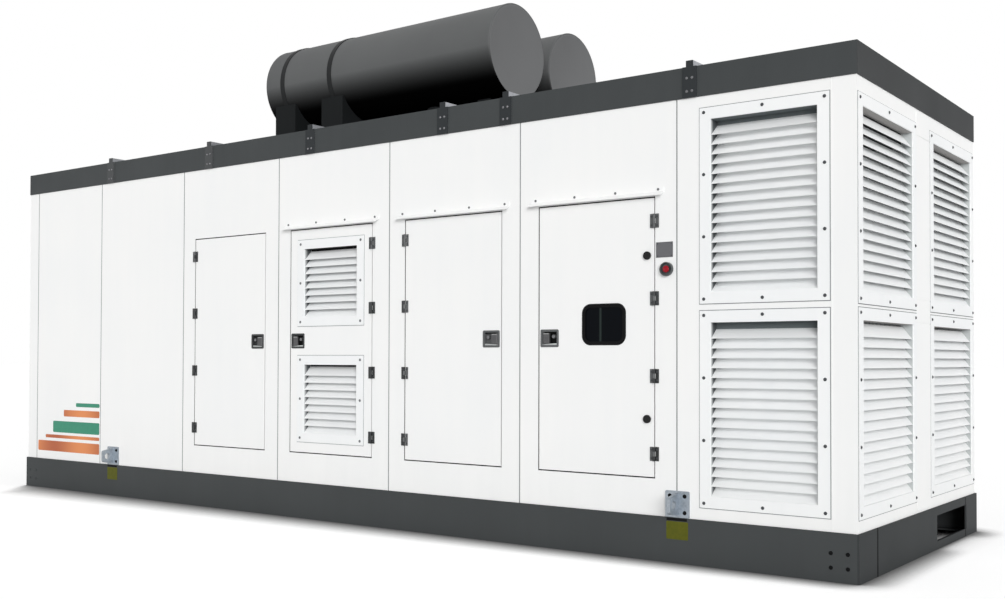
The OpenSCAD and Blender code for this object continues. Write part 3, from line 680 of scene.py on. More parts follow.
def discard(*templates):
    """Remove templates once their copies are made."""
    for template in templates:
        mesh = template.data
        bpy.data.objects.remove(template)
        bpy.data.meshes.remove(mesh)


def chamfer_front(piece, offset, segments=1):
    """Bevel the edges of the faces that look along -Y."""
    choose(piece, faces=lambda c, n: n.y < -0.9)
    bpy.ops.mesh.bevel(offset=offset, segments=segments, affect="EDGES")
    bpy.ops.object.mode_set(mode="OBJECT")


def soften(piece, offset, segments=2, limit=50):
    """Round every edge sharper than the limit in degrees."""
    settle(piece)
    bevel = piece.modifiers.new("edge", "BEVEL")
    bevel.width, bevel.segments = offset, segments
    bevel.limit_method, bevel.angle_limit = "ANGLE", math.radians(limit)
    bpy.ops.object.modifier_apply(modifier=bevel.name)
    return piece


def flat_ring(low, high, width, rise, corner=0.0):
    """A ring on the plane y = low.y, rising towards -Y; without a width it stays a sheet."""
    clear_selection()
    middle = Vector(((low[0] + high[0]) / 2, low[1], (low[2] + high[2]) / 2))
    bpy.ops.mesh.primitive_plane_add(size=1, location=middle, rotation=(math.pi / 2, 0, 0))
    ring = bpy.context.object
    ring.scale = (high[0] - low[0], high[2] - low[2], 1)
    settle(ring)
    bpy.ops.object.mode_set(mode="EDIT")
    bpy.ops.mesh.select_all(action="SELECT")
    if corner:
        bpy.ops.mesh.bevel(offset=corner, segments=4, affect="VERTICES")
        bpy.ops.mesh.select_all(action="SELECT")
    if width:
        bpy.ops.mesh.inset(thickness=width, depth=0)
        bpy.ops.mesh.delete(type="FACE")
        bpy.ops.mesh.select_all(action="SELECT")
    bpy.ops.mesh.extrude_region_move(TRANSFORM_OT_translate={"value": (0, -rise, 0)})
    bpy.ops.mesh.select_all(action="SELECT")
    bpy.ops.mesh.normals_make_consistent(inside=False)
    bpy.ops.object.mode_set(mode="OBJECT")
    return ring


def sheet_patch(low, high, rise, corner):
    """A thin sheet with rounded corners on the plane y = low.y, rising towards -Y."""
    return flat_ring(low, high, None, rise, corner)


# %% [markdown]
# ## Bolts and screws
#
# Every louvre is held by small bolts with washers, dark against the white paint, and the
# rain gutters by pan-head screws. One bolt is modelled well and copied: a thin bevelled
# washer, and a six-sided head with its outer edge chamfered. The screw head is a short
# rod whose face is inset and sunk for the drive. They stay at a few dozen faces each,
# because the canopy carries hundreds.


# %% Model a bolt and a screw
def model_bolt(radius):
    """A bolt head with its washer, facing -Y on the plane y = 0; radius is the washer's."""
    washer = rod((0, -0.09 * radius, 0), radius, 0.18 * radius, sides=16)
    chamfer_front(washer, 0.06 * radius)
    head = rod((0, -0.36 * radius, 0), 0.72 * radius, 0.40 * radius, sides=6)
    chamfer_front(head, 0.1 * radius)
    return join([washer, head])


def model_screw(radius):
    """A pan-head screw facing -Y on the plane y = 0, with a sunk drive."""
    head = rod((0, -0.25 * radius, 0), radius, 0.5 * radius, sides=16)
    chamfer_front(head, 0.2 * radius, 2)
    choose(head, faces=lambda c, n: n.y < -0.95 and abs(c.x) < 0.2 * radius)
    bpy.ops.mesh.inset(thickness=0.35 * radius, depth=0)
    bpy.ops.mesh.inset(thickness=0.05 * radius, depth=-0.2 * radius)
    bpy.ops.object.mode_set(mode="OBJECT")
    return head


louvre_bolt = model_bolt(0.010)
gutter_screw = model_screw(0.008)
print("bolt faces", len(louvre_bolt.data.polygons), "screw", len(gutter_screw.data.polygons))

# %% [markdown]
# ### Where the louvre bolts go
#
# A tall louvre frame has four bolts up each side and one in the middle of its top and
# bottom edges. The small ones in door 2 have three up each side. The places follow from
# the box of each frame, whichever way that frame faces. The beads, linings and nets of the
# louvres come later and need their places too, so those helpers come first.


# %% Where each louvre sits and how large it is
louvre_bodies = {"bay_louvres": "canopy", "right_end_louvres": "canopy",
                 "left_end_louvres": "canopy", "door_2_louvres": "door_2"}
long_side_louvres = ("bay_louvres", "door_2_louvres")


def louvre_spots(node, seat, gap=0.0):
    """The place and turn of each louvre: at its face, on the wall, or a gap behind it."""
    across = 1 if node in long_side_louvres else 0
    wall = (wall_x, wall_y)[across]
    turns = ((LEFT, RIGHT), (FRONT, REAR))[across]
    spots = []
    for low, high in solids_of(node):
        place = (low + high) / 2
        way = 1 if place[across] > 0 else -1
        outer, inner = (high, low) if way > 0 else (low, high)
        place[across] = {"face": outer[across], "wall": way * wall,
                         "behind": inner[across] - way * gap}[seat]
        spots.append((place, turns[way > 0]))
    return spots


def louvre_size(node):
    """Width, depth and height of one louvre, as seen from in front of it."""
    low, high = solids_of(node)[0]
    size = high - low
    return (size.x, size.y, size.z) if node in long_side_louvres else (size.y, size.x, size.z)


# %% Bolt the louvres
def border_spots(low, high, turn, inset, rows, middle):
    """Bolt places round a frame's border, on the face that the turn looks to."""
    along_x = turn in (FRONT, REAR)
    near, far = (low.x, high.x) if along_x else (low.y, high.y)
    face = {FRONT: low.y, REAR: high.y, RIGHT: high.x, LEFT: low.x}[turn]
    heights = [low.z + inset + k * (high.z - low.z - 2 * inset) / (rows - 1)
               for k in range(rows)]
    spots = [(side, z) for side in (near + inset, far - inset) for z in heights]
    if middle:
        spots += [((near + far) / 2, heights[0]), ((near + far) / 2, heights[-1])]
    return [(Vector((a, face, z)) if along_x else Vector((face, a, z)), turn)
            for a, z in spots]


louvre_inset, small_louvre_inset = 0.027, 0.031
for node, body in louvre_bodies.items():
    small = body != "canopy"
    spots = []
    for (low, high), (face, turn) in zip(solids_of(node), louvre_spots(node, "face")):
        spots += border_spots(low, high, turn, small_louvre_inset if small else louvre_inset,
                              3 if small else 4, not small)
    finish(copies(louvre_bolt, spots),
           "door_2_louvre_bolts" if small else node + "_bolts",
           screw_steel if small else bolt_steel, body)

# %% Screw the gutters
screw_drop, screw_spacing, gutter_sheet = 0.015, 0.30, 0.003
spots = []
for low, high in solids_of("door_gutters"):
    turn = FRONT if low.y < 0 else REAR
    face = (-1 if turn == FRONT else 1) * (wall_y + gutter_sheet)
    middle = (low.x + high.x) / 2
    spots += [(Vector((middle + k * screw_spacing, face, high.z - screw_drop)), turn)
              for k in (-1.5, -0.5, 0.5, 1.5)]
finish(copies(gutter_screw, spots), "gutter_screws", screw_steel)

# %% [markdown]
# ## Beam plates, lifting plates and skid corners
#
# Each roof beam ends in a plate bolted to the dark band by four bolts. Each lifting plate
# has four heavier bolts with black heads, and the skid corners show four more where the
# corner pieces are bolted through. Those at the left are painted over. Four places round a
# middle are all that changes.


# %% Bolt plates and corners
def four_round(centre, across, up, turn):
    """Four bolt places round a centre on the front or the rear face."""
    return [(centre + Vector((sx * across, 0, sz * up)), turn)
            for sx in (-1, 1) for sz in (-1, 1)]


beam_bolt = model_bolt(0.0085)
plate_level, plate_across, plate_up = band_bottom + 0.0785, 0.0175, 0.0395
spots = []
for low, high in solids_of("roof_beams"):
    for face, turn in ((low.y, FRONT), (high.y, REAR)):
        centre = Vector(((low.x + high.x) / 2, face, plate_level))
        spots += four_round(centre, plate_across, plate_up, turn)
finish(copies(beam_bolt, spots), "beam_plate_bolts", lock_nickel)

lug_bolt = model_bolt(0.0125)
lug_plate_thickness, lug_bolt_half = 0.008, 0.049
spots = []
for low, high in solids_of("lifting_lugs"):
    turn = FRONT if low.y < 0 else REAR
    face = (-1 if turn == FRONT else 1) * (wall_y + lug_plate_thickness)
    centre = Vector(((low.x + high.x) / 2, face, (low.z + high.z) / 2))
    spots += four_round(centre, lug_bolt_half, lug_bolt_half, turn)
finish(copies(lug_bolt, spots), "lifting_plate_bolts", black_bolt_paint)

skid_bolt = model_bolt(0.0115)
corner_inset, corner_level, corner_across, corner_up = 0.1105, 0.1175, 0.0475, 0.0395
for end, name, material in ((1, "skid_corner_bolts", black_bolt_paint),
                            (-1, "painted_skid_corner_bolts", anthracite_epoxy)):
    spots = []
    for face, turn in ((-base_y, FRONT), (base_y, REAR)):
        centre = Vector((end * (base_x - corner_inset), face, corner_level))
        spots += four_round(centre, corner_across, corner_up, turn)
    finish(copies(skid_bolt, spots), name, material)
discard(beam_bolt, lug_bolt, skid_bolt, gutter_screw)

# %% [markdown]
# ## Door furniture
#
# A strap hinge is screwed to the leaf on one side of its pin and to the jamb on the other,
# two screws in each half. The jamb screws stay with the canopy and the leaf screws turn
# with their door. The rear doors are shut for good, so all their screws stay with the
# canopy, at the same places on the other side.

# %% Screw the hinges
hinge_screw = model_screw(0.0065)
hinge_plate, screw_from_pin, screw_rise = 0.004, 0.020, 0.026
jamb_places, leaf_places = [], {door: [] for door in doors}
for low, high in solids_of("hinge_fixed_leaves"):
    middle, level = (low.x + high.x) / 2, (low.z + high.z) / 2
    door = min(doors, key=lambda d: abs(hinge_axes[d].x - middle))
    pin = hinge_axes[door].x
    jamb_side = 1 if middle > pin else -1
    for rise in (-screw_rise, screw_rise):
        jamb_places.append((pin + jamb_side * screw_from_pin, level + rise))
        leaf_places[door].append((pin - jamb_side * screw_from_pin, level + rise))
hinge_face = wall_y + hinge_plate
front_jambs = [(Vector((x, -hinge_face, z)), FRONT) for x, z in jamb_places]
rear_places = jamb_places + [place for door in doors for place in leaf_places[door]]
rear_jambs = [(Vector((x, hinge_face, z)), REAR) for x, z in rear_places]
finish(copies(hinge_screw, front_jambs + rear_jambs), "jamb_hinge_screws", bolt_steel)
for door in doors:
    spots = [(Vector((x, -hinge_face, z)), FRONT) for x, z in leaf_places[door]]
    finish(copies(hinge_screw, spots), door + "_hinge_screws", bolt_steel, door)
discard(hinge_screw)

# %% [markdown]
# ### Paddle latches
#
# A paddle latch is a pressed tray let into the door, with a paddle that is pulled by its
# free edge and a small lock above. Three things bring the flat tray to life: a rolled rim
# round its flange, the nickel face of the lock with its key slot, and grip ribs on the
# paddle. The rim is a flat ring. Under the paddle a scoop lets the fingers in; its pale
# plating is a painted highlight, and so is a pale strip along the paddle's top edge. A
# black rubber strip across the top of the recess, and on two doors a black pad at its back,
# are painted shade for the dark hollow of the recess.

# %% Model the rim and the lock face
tray_low, tray_high = max(solids_of("door_1_hardware"), key=lambda b: b[1].x - b[0].x)
tray_half_x = (tray_high.x - tray_low.x) / 2
tray_half_z = (tray_high.z - tray_low.z) / 2
tray_level = (tray_high.z + tray_low.z) / 2
tray_rise = -wall_y - tray_low.y
rim_inset, rim_width, rim_rise, rim_corner = 0.001, 0.0045, 0.0016, 0.009
tray_rim = soften(flat_ring((-tray_half_x + rim_inset, 0, -tray_half_z + rim_inset),
                            (tray_half_x - rim_inset, 0, tray_half_z - rim_inset),
                            rim_width, rim_rise, rim_corner), 0.0006, 1, 70)
lock_face = rod((0, -0.0012, 0), 0.0118, 0.0024, sides=32)
chamfer_front(lock_face, 0.0008, 2)
choose(lock_face, faces=lambda c, n: n.y < -0.95 and c.x ** 2 + c.z ** 2 < 1e-6)
bpy.ops.mesh.inset(thickness=0.0042, depth=0)
bpy.ops.mesh.inset(thickness=0.0004, depth=-0.0006)
bpy.ops.object.mode_set(mode="OBJECT")
key_slot = block((-0.0009, -0.0030, -0.0045), (0.0009, -0.0017, 0.0045))
lock_face = join([lock_face, soften(key_slot, 0.0003, 1)])
print("tray half sizes", round(tray_half_x, 4), round(tray_half_z, 4), "faces",
      len(tray_rim.data.polygons), len(lock_face.data.polygons))

# %% Model the scoops, and the pad and lip that are painted shade
scoop_level, scoop_half, scoop_rise = -0.0375, 0.056, 0.0055
scoops = {}
for side in (-1, 1):
    scoop = block((-scoop_half, -0.0010, scoop_level - scoop_rise),
                  (scoop_half, 0.0075, scoop_level + scoop_rise))
    choose(scoop, edges=lambda c, d: c.z > scoop_level + 0.005 and side * c.x > scoop_half - 1e-4)
    bpy.ops.transform.translate(value=(0, 0, -scoop_rise))
    bpy.ops.object.mode_set(mode="OBJECT")
    scoops[side] = soften(scoop, 0.0018, 2, 30)
# A black pad at the back of the recess and a black strip across its top: painted shade for the
# dark hollow of the recess.
recess_shade_pad = soften(block((-0.0545, 0.0200, -0.0415), (0.0545, 0.0215, 0.0415)), 0.0005, 1)
recess_shade_lip = soften(block((-0.0520, -0.0010, 0.0360), (0.0520, 0.0060, 0.0430)), 0.0015, 2)
print("scoop faces", len(scoops[1].data.polygons), "lip", len(recess_shade_lip.data.polygons))

# %% Place them on every latch
lock_shift_x, lock_shift_z, lock_sink = 0.029, 0.01125, 0.002
for door in doors:
    low, high = max(solids_of(door + "_hardware"), key=lambda b: b[1].x - b[0].x)
    middle = (low.x + high.x) / 2
    edge_side = 1 if middle > hinge_axes[door].x else -1
    lock_x = middle - edge_side * lock_shift_x
    for body, name, face, turn in ((door, door, -wall_y, FRONT),
                                   ("canopy", "rear_" + door, wall_y, REAR)):
        out = -1 if turn == FRONT else 1
        rim_place = Vector((middle, face + out * tray_rise, tray_level))
        lock_place = Vector((lock_x, face - out * lock_sink, tray_level + lock_shift_z))
        finish(copies(tray_rim, [(rim_place, turn)]), name + "_latch_rim",
               dark_tray if door in ("door_1", "door_2") else tray_black, body)
        if door in ("door_2", "door_4"):
            finish(copies(recess_shade_pad, [(Vector((middle, face, tray_level)), turn)]),
                   name + "_latch_dish_pad", epdm_rubber, body)
        finish(copies(lock_face, [(lock_place, turn)]), name + "_lock_face", lock_nickel,
               body)
        dish_place = Vector((middle, face - out * lock_sink, tray_level))
        finish(copies(scoops[-out * edge_side], [(dish_place, turn)]),
               name + "_finger_scoop", plating_with_painted_highlight, body)
        finish(copies(recess_shade_lip, [(dish_place, turn)]), name + "_latch_drip_lip", epdm_rubber,
               body)
discard(tray_rim, lock_face, recess_shade_lip, recess_shade_pad, *scoops.values())

# %% Rib the paddles and lay a painted highlight along their top edge
rib_count, rib_height, rib_pitch = 5, 0.0022, 0.0058
for door in doors:
    low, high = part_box(door + "_handle")
    middle = Vector(((low.x + high.x) / 2, -wall_y - tray_rise, (low.z + high.z) / 2))
    ribs = []
    for k in range(rib_count):
        up = (k - (rib_count - 1) / 2) * rib_pitch
        ribs.append(soften(block((-0.013, -0.0009, up - rib_height / 2),
                                 (0.013, 0.0002, up + rib_height / 2)), 0.0004, 1))
    # A pale strip along the top edge of each paddle is a painted highlight.
    edge = soften(block((-0.0225, -0.0009, 0.0265), (0.0225, 0.0002, 0.0325)), 0.0004, 1)
    rear = Vector((middle.x, -middle.y, middle.z))
    for template, part_name, material in ((join(ribs), "_paddle_ribs", satin_nickel),
                                          (edge, "_paddle_edge", nickel_with_painted_highlight)):
        finish(copies(template, [(middle, FRONT)]), door + part_name, material,
               door.replace("door", "handle"))
        finish(copies(template, [(rear, REAR)]), "rear_" + door + part_name, material)
        discard(template)

# %% [markdown]
# ## The small window of door 4
#
# The dark glass sits in a rubber profile like a lorry's side window: a lip outside, and a
# harder locking strip pushed into its middle, which is what tightens it. Both are rings
# with rounded corners, softened so that the light runs along them.

# %% Window profile
gasket_low, gasket_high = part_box("door_4_gasket")
lip = (glass_low.x - gasket_low.x) * 0.42
for name, inset, width, rise, corner, edge, steps in (
        ("door_4_window_profile", 0.003, lip, 0.0030, 0.058, 0.0012, 3),
        ("door_4_window_locking_strip", 0.016, 0.0045, 0.0018, 0.045, 0.0007, 2)):
    ring = flat_ring((gasket_low.x + inset, gasket_low.y + 0.0004, gasket_low.z + inset),
                     (gasket_high.x - inset, gasket_low.y, gasket_high.z - inset),
                     width, rise, corner)
    finish(soften(ring, edge, steps, 60), name, epdm_rubber, "door_4")

# %% [markdown]
# ## Rating plate and stop button
#
# The rating plate is a grey anodised sheet held by a screw at each corner; its writing is
# left off, and a rolled border gives it its edge. The emergency stop is a red mushroom
# button inside a cup, and the frame's plain button is replaced by a turned one: a profile
# is drawn as a chain of short extrusions and spun round the push axis.

# %% Border and screws of the rating plate
plate_low, plate_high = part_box("rating_plate")
border = flat_ring((plate_low.x + 0.002, plate_low.y + 0.0002, plate_low.z + 0.002),
                   (plate_high.x - 0.002, plate_low.y, plate_high.z - 0.002),
                   0.0030, 0.0010, corner=0.003)
finish(soften(border, 0.0004, 1, 60), "rating_plate_border", grey_anodised)
plate_screw, screw_inset = model_screw(0.0036), 0.010
spots = [(Vector((x, plate_low.y, z)), FRONT)
         for x in (plate_low.x + screw_inset, plate_high.x - screw_inset)
         for z in (plate_low.z + screw_inset, plate_high.z - screw_inset)]
finish(copies(plate_screw, spots), "rating_plate_screws", bolt_steel)
discard(plate_screw)


# %% A turned piece
def turned(profile, centre, axis, steps=48):
    """Spin a chain of (along, radius) points, from axis to axis, round X, Y or Z."""
    clear_selection()
    bpy.ops.mesh.primitive_plane_add(size=0.001)
    piece = bpy.context.object
    bpy.ops.object.mode_set(mode="EDIT")
    bpy.ops.mesh.select_mode(type="VERT")
    bpy.ops.mesh.select_all(action="SELECT")
    bpy.ops.mesh.merge(type="CENTER")
    spin_axis = {"X": Vector((1, 0, 0)), "Y": Vector((0, 1, 0)), "Z": Vector((0, 0, 1))}[axis]
    side = Vector((0, 0, 1)) if axis != "Z" else Vector((1, 0, 0))
    spots = [spin_axis * along + side * radius for along, radius in profile]
    bpy.ops.transform.translate(value=spots[0])
    for before, after in zip(spots, spots[1:]):
        bpy.ops.mesh.extrude_vertices_move(TRANSFORM_OT_translate={"value": after - before})
    bpy.ops.mesh.select_all(action="SELECT")
    bpy.ops.mesh.spin(steps=steps, angle=2 * math.pi, center=(0, 0, 0), axis=spin_axis)
    bpy.ops.mesh.select_all(action="SELECT")
    bpy.ops.mesh.remove_doubles(threshold=1e-6)
    bpy.ops.mesh.normals_make_consistent(inside=False)
    bpy.ops.object.mode_set(mode="OBJECT")
    piece.location = centre
    return settle(piece)


def arc(centre_along, centre_radius, size, start, end, steps=5):
    """Points of a quarter round in a turned profile, its angles in degrees."""
    angles = [math.radians(start + (end - start) * k / steps) for k in range(steps + 1)]
    return [(centre_along + size * math.cos(a), centre_radius + size * math.sin(a))
            for a in angles]


# %% Turn the stop button
button_low, button_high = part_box("stop_button")
axis_x, axis_z = (button_low.x + button_high.x) / 2, (button_low.z + button_high.z) / 2
cap, stem = (button_high.z - button_low.z) / 2, 0.008
front, back, cap_back = button_low.y, button_high.y, button_low.y + 0.009
profile = ([(back, 0), (back, stem), (cap_back, stem), (cap_back, cap - 0.001)]
           + [(cap_back - 0.001, cap)]
           + arc(front + 0.006, cap - 0.005, 0.005, 90, 150)
           + [(front + 0.0008, cap - 0.0115), (front + 0.0014, cap - 0.0123),
              (front + 0.0006, cap - 0.0131), (front, 0.003), (front, 0)])
button = turned(profile, (axis_x, 0, axis_z), "Y")
finish(button, "mushroom_button", stop_button_plastic, "stop_plunger",
       replaces=["stop_button"])

# %% [markdown]
# ## Silencers, straps and pipes
#
# A silencer is a rolled steel shell with its end discs welded in, so the corner is not
# sharp but carries a small rounded bead. Each shell is turned as one profile to replace
# the frame's plain cylinder. Its lower half carries painted shade: the material fades from
# the paint to black down the lower half. The end discs take a lighter tone of the same
# paint, which is painted light.

# %% Painted shade on the underside of a shell
silencer_low, silencer_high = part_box("silencers")
silencer_radius = (silencer_high.z - silencer_low.z) / 2
silencer_axis_z = (silencer_high.z + silencer_low.z) / 2
darkest, unshaded = -0.70, -0.06
shader = silicone_with_painted_shade_below.node_tree.nodes["Principled BSDF"]
paint = shader.inputs["Base Color"].links[0].from_socket
share = add_node(silicone_with_painted_shade_below, "ShaderNodeMapRange",
                 {0: own_place(silicone_with_painted_shade_below)[2],
                  1: silencer_axis_z + darkest * silencer_radius,
                  2: silencer_axis_z + unshaded * silencer_radius})
curve = add_node(silicone_with_painted_shade_below, "ShaderNodeMath",
                 {0: share.outputs[0], 1: 1.6}, operation="POWER")
shaded_below = add_node(silicone_with_painted_shade_below, "ShaderNodeMix",
                  {0: curve.outputs[0], 6: linear("050505"), 7: paint}, data_type="RGBA")
gleam_dimmed_in_shade = add_node(silicone_with_painted_shade_below, "ShaderNodeMath",
                 {0: curve.outputs[0], 1: 0.2}, operation="MULTIPLY")
link(silicone_with_painted_shade_below, shaded_below.outputs[2], shader.inputs["Base Color"])
link(silicone_with_painted_shade_below, gleam_dimmed_in_shade.outputs[0], shader.inputs["Specular IOR Level"])
print("silencer radius", round(silencer_radius, 4), "axis at", round(silencer_axis_z, 4))

# %% Turn the silencer shells and their end discs
shells, discs = [], []
bead, sink, disc_rise, sheet_step, radius = 0.007, 0.004, 0.0015, 0.0012, silencer_radius
for low, high in solids_of("silencers"):
    profile = [(low.x + sink, 0), (low.x + sink, radius - 2.6 * bead),
               (low.x + 0.5 * sink, radius - 2.0 * bead)]
    profile += arc(low.x + bead, radius - bead, bead, 180, 90)
    profile += [(low.x + 3 * bead, radius - sheet_step),
                (high.x - 3 * bead, radius - sheet_step)]
    profile += arc(high.x - bead, radius - bead, bead, 90, 0)
    profile += [(high.x - 0.5 * sink, radius - 2.0 * bead),
                (high.x - sink, radius - 2.6 * bead), (high.x - sink, 0)]
    centre = (0, (low.y + high.y) / 2, silencer_axis_z)
    shells.append(turned(profile, centre, "X", steps=128))
    edge = radius - 1.3 * bead
    for face, way in ((low.x + sink, -1), (high.x - sink, 1)):
        back, rise, crest = (face + way * step for step in (-sink, disc_rise, 2 * disc_rise))
        disc = [(back, 0), (back, edge), (rise, edge), (crest, edge - 0.003),
                (crest, edge - 0.012), (rise, edge - 0.016), (rise, 0)]
        discs.append(turned(disc, centre, "X", steps=96))
finish(join(shells), "silencer_shells", silicone_with_painted_shade_below,
       replaces=["silencers"])
finish(join(discs), "silencer_end_discs", heatproof_silicone)

# %% [markdown]
# The outlet flanges carry eight bolts round the open pipe, and a weather collar closes the
# roof round each riser: a turned ring with a sloping top.


# %% Bolts of the outlet flanges
def on_circle(centre, radius, count, turn):
    """Bolt places evenly round a circle on a face that looks along X."""
    return [(centre + Vector((0, radius * math.sin(a), radius * math.cos(a))), turn)
            for a in (2 * math.pi * (k + 0.5) / count for k in range(count))]


flange_thickness, flange_bolt_circle = 0.012, 0.126
spots = []
for low, high in solids_of("exhaust_pipes"):
    if low.z > roof_top + 0.1:
        centre = Vector((high.x - flange_thickness, (low.y + high.y) / 2, (low.z + high.z) / 2))
        spots += on_circle(centre, flange_bolt_circle, 8, LEFT)
finish(copies(louvre_bolt, spots), "outlet_flange_bolts", bolt_steel)

# %% Weather collars round the risers
collars = []
for low, high in solids_of("exhaust_pipes"):
    if low.z < roof_top + 0.1:
        pipe = (high.x - low.x) / 2 + 0.0005
        ring = [(0.0, pipe), (0.0, pipe + 0.060), (0.004, pipe + 0.060),
                (0.006, pipe + 0.056), (0.006, pipe + 0.034), (0.040, pipe + 0.006),
                (0.044, pipe + 0.006), (0.046, pipe + 0.004), (0.046, pipe), (0.0, pipe)]
        middle = ((low.x + high.x) / 2, (low.y + high.y) / 2, roof_top)
        collars.append(turned(ring, middle, "Z", steps=64))
finish(join(collars), "riser_collars", saddle_enamel)

# %% [markdown]
# ## Decals and marks
#
# Low on the first panel a decal of cut vinyl runs up to the seam. It is a plain design of
# stepped bars, three copper and two green, each a thin sheet with rounded corners. On the
# skid, below each front lifting plate, a patch of olive paint marks the sling point.

# %% Stepped bars on the first panel
bar_end = solids_of("front_panels")[0][1].x - 0.012
film, bar_corner = 0.0006, 0.012
bars = {
    copper_film: [(0.345, 0.095, 0.96), (0.468, 0.030, 0.84), (0.672, 0.060, 0.55)],
    green_film: [(0.522, 0.105, 0.72), (0.764, 0.035, 0.36)],
}
for film_material, rows in bars.items():
    strips = [sheet_patch((bar_end - length, -wall_y, bottom),
                          (bar_end, -wall_y, bottom + height), film, bar_corner)
              for bottom, height, length in rows]
    finish(join(strips), film_material.name + "_bars", film_material)

# %% Olive sling marks on the skid
mark_half, mark_bottom, mark_top = 0.072, 0.141, 0.248
right_shift, left_shift, mark_coat, mark_corner = 0.002, 0.001, 0.0008, 0.006
marks = []
for low, high in solids_of("lifting_lugs"):
    if low.y < 0:
        middle = (low.x + high.x) / 2 + (right_shift if low.x > 0 else left_shift)
        marks.append(sheet_patch((middle - mark_half, -base_y, mark_bottom),
                                 (middle + mark_half, -base_y, mark_top),
                                 mark_coat, mark_corner))
finish(join(marks), "sling_marks", olive_enamel)

# %% Black rubber strips on the skid edge below the lug plates, painted shadow of the plates
pad_height, pad_depth, pad_inset, pad_drop = 0.018, 0.003, 0.012, 0.002
for end, strip_name in ((1, "front_lug_wear_pads"), (-1, "rear_lug_wear_pads")):
    shadow_strips = []
    for low, high in solids_of("lifting_lugs"):
        if low.y * end < 0:
            outer = -end * (base_y + pad_depth)
            near, far = sorted((outer, outer + end * pad_depth))
            shadow_strips.append(soften(block((low.x + pad_inset, near, base_top - pad_height),
                                     (high.x - pad_inset, far, base_top - pad_drop)),
                               0.0015, 2))
    finish(join(shadow_strips), strip_name, epdm_rubber)

# %% [markdown]
# ## Joints and sealant
#
# Each joint between two wall panels, and the left corner joint, is closed by a narrow grey
# sealant profile that stands a millimetre proud. A finer bead of it runs round each louvre
# frame. The joint of the right corner is filled and painted over. One profile is modelled
# for the front, and a mirrored copy serves the rear.

# %% Close the wall joints
seam_half, seam_rise = 0.0034, 0.001
corner_boxes = solids_of("corner_posts")
left_corner_joint = corner_boxes[0][1].x + 0.002
right_corner_joint = corner_boxes[-1][0].x - 0.002
post_middles = [(low.x + high.x) / 2 for low, high in solids_of("seam_posts") if low.y < 0]


def joint_foot(x):
    """The height where a wall joint starts, above a lifting plate that covers its foot."""
    over = [high.z for low, high in solids_of("lifting_lugs") if low.x < x < high.x]
    return max(over, default=base_top)


def joint_profile(x, half):
    """A sealant profile over a wall joint, on the front."""
    return soften(sheet_patch((x - half, -wall_y, joint_foot(x)),
                              (x + half, -wall_y, band_bottom), seam_rise, half / 2), 0.0003, 1)


profiles = [joint_profile(x, seam_half) for x in post_middles + [left_corner_joint]]
profiles += [rear_copy(profile) for profile in list(profiles)]
finish(join(profiles), "wall_joint_profiles", joint_sealant)
filled = joint_profile(right_corner_joint, 0.003)
finish(join([filled, rear_copy(filled)]), "filled_corner_joints", white_powder_coat)

# %% Run a bead round each louvre frame
bead_width, bead_rise = 0.0045, 0.0012
for node, body in louvre_bodies.items():
    width, depth, height = louvre_size(node)
    half_wide, half_tall = width / 2 + bead_width, height / 2 + bead_width
    template = flat_ring((-half_wide, 0, -half_tall), (half_wide, 0, half_tall), bead_width,
                         bead_rise)
    finish(soften(copies(template, louvre_spots(node, "wall")), 0.0003, 1),
           node + "_sealant_beads", joint_sealant if body == "canopy" else fine_sealant,
           body)
    discard(template)

# %% [markdown]
# Each louvre sits in a sleeve through the wall. In the bays its top is lined with dark felt
# and in the door with rubber; these dark tops are painted shade under the sleeve top. One
# side of each of these sleeves is painted darker with depth, painted shade that deepens into
# the sleeve. The sleeves of the end walls are lined with primer, grey on top and pale on one
# side, both painted shade and the top the darker. In the bays a felt baffle also hangs
# behind the top blades. Strips of black rubber line the edges of each doorway, where the
# leaf shuts; they are painted shade that darkens the gap round each leaf.

# %% Sleeve sides with painted shade that deepens with depth
shaded_side, shader, place = start_material("sleeve_side_with_deep_dust", Roughness=0.7,
                                            Specular_IOR_Level=0.1)
outward = away_from(shaded_side, own_place(shaded_side)[1], 0.0)
depth = add_node(shaded_side, "ShaderNodeMapRange",
                 {0: outward, 1: wall_y - 0.002, 2: wall_y - 0.034})
curve = add_node(shaded_side, "ShaderNodeMath",
                 {0: depth.outputs[0], 1: 0.5}, operation="POWER")
graded = add_node(shaded_side, "ShaderNodeMix",
                  {0: curve.outputs[0], 6: linear("f0f2f2"), 7: linear("4e5254")},
                  data_type="RGBA")
link(shaded_side, graded.outputs[2], shader.inputs["Base Color"])

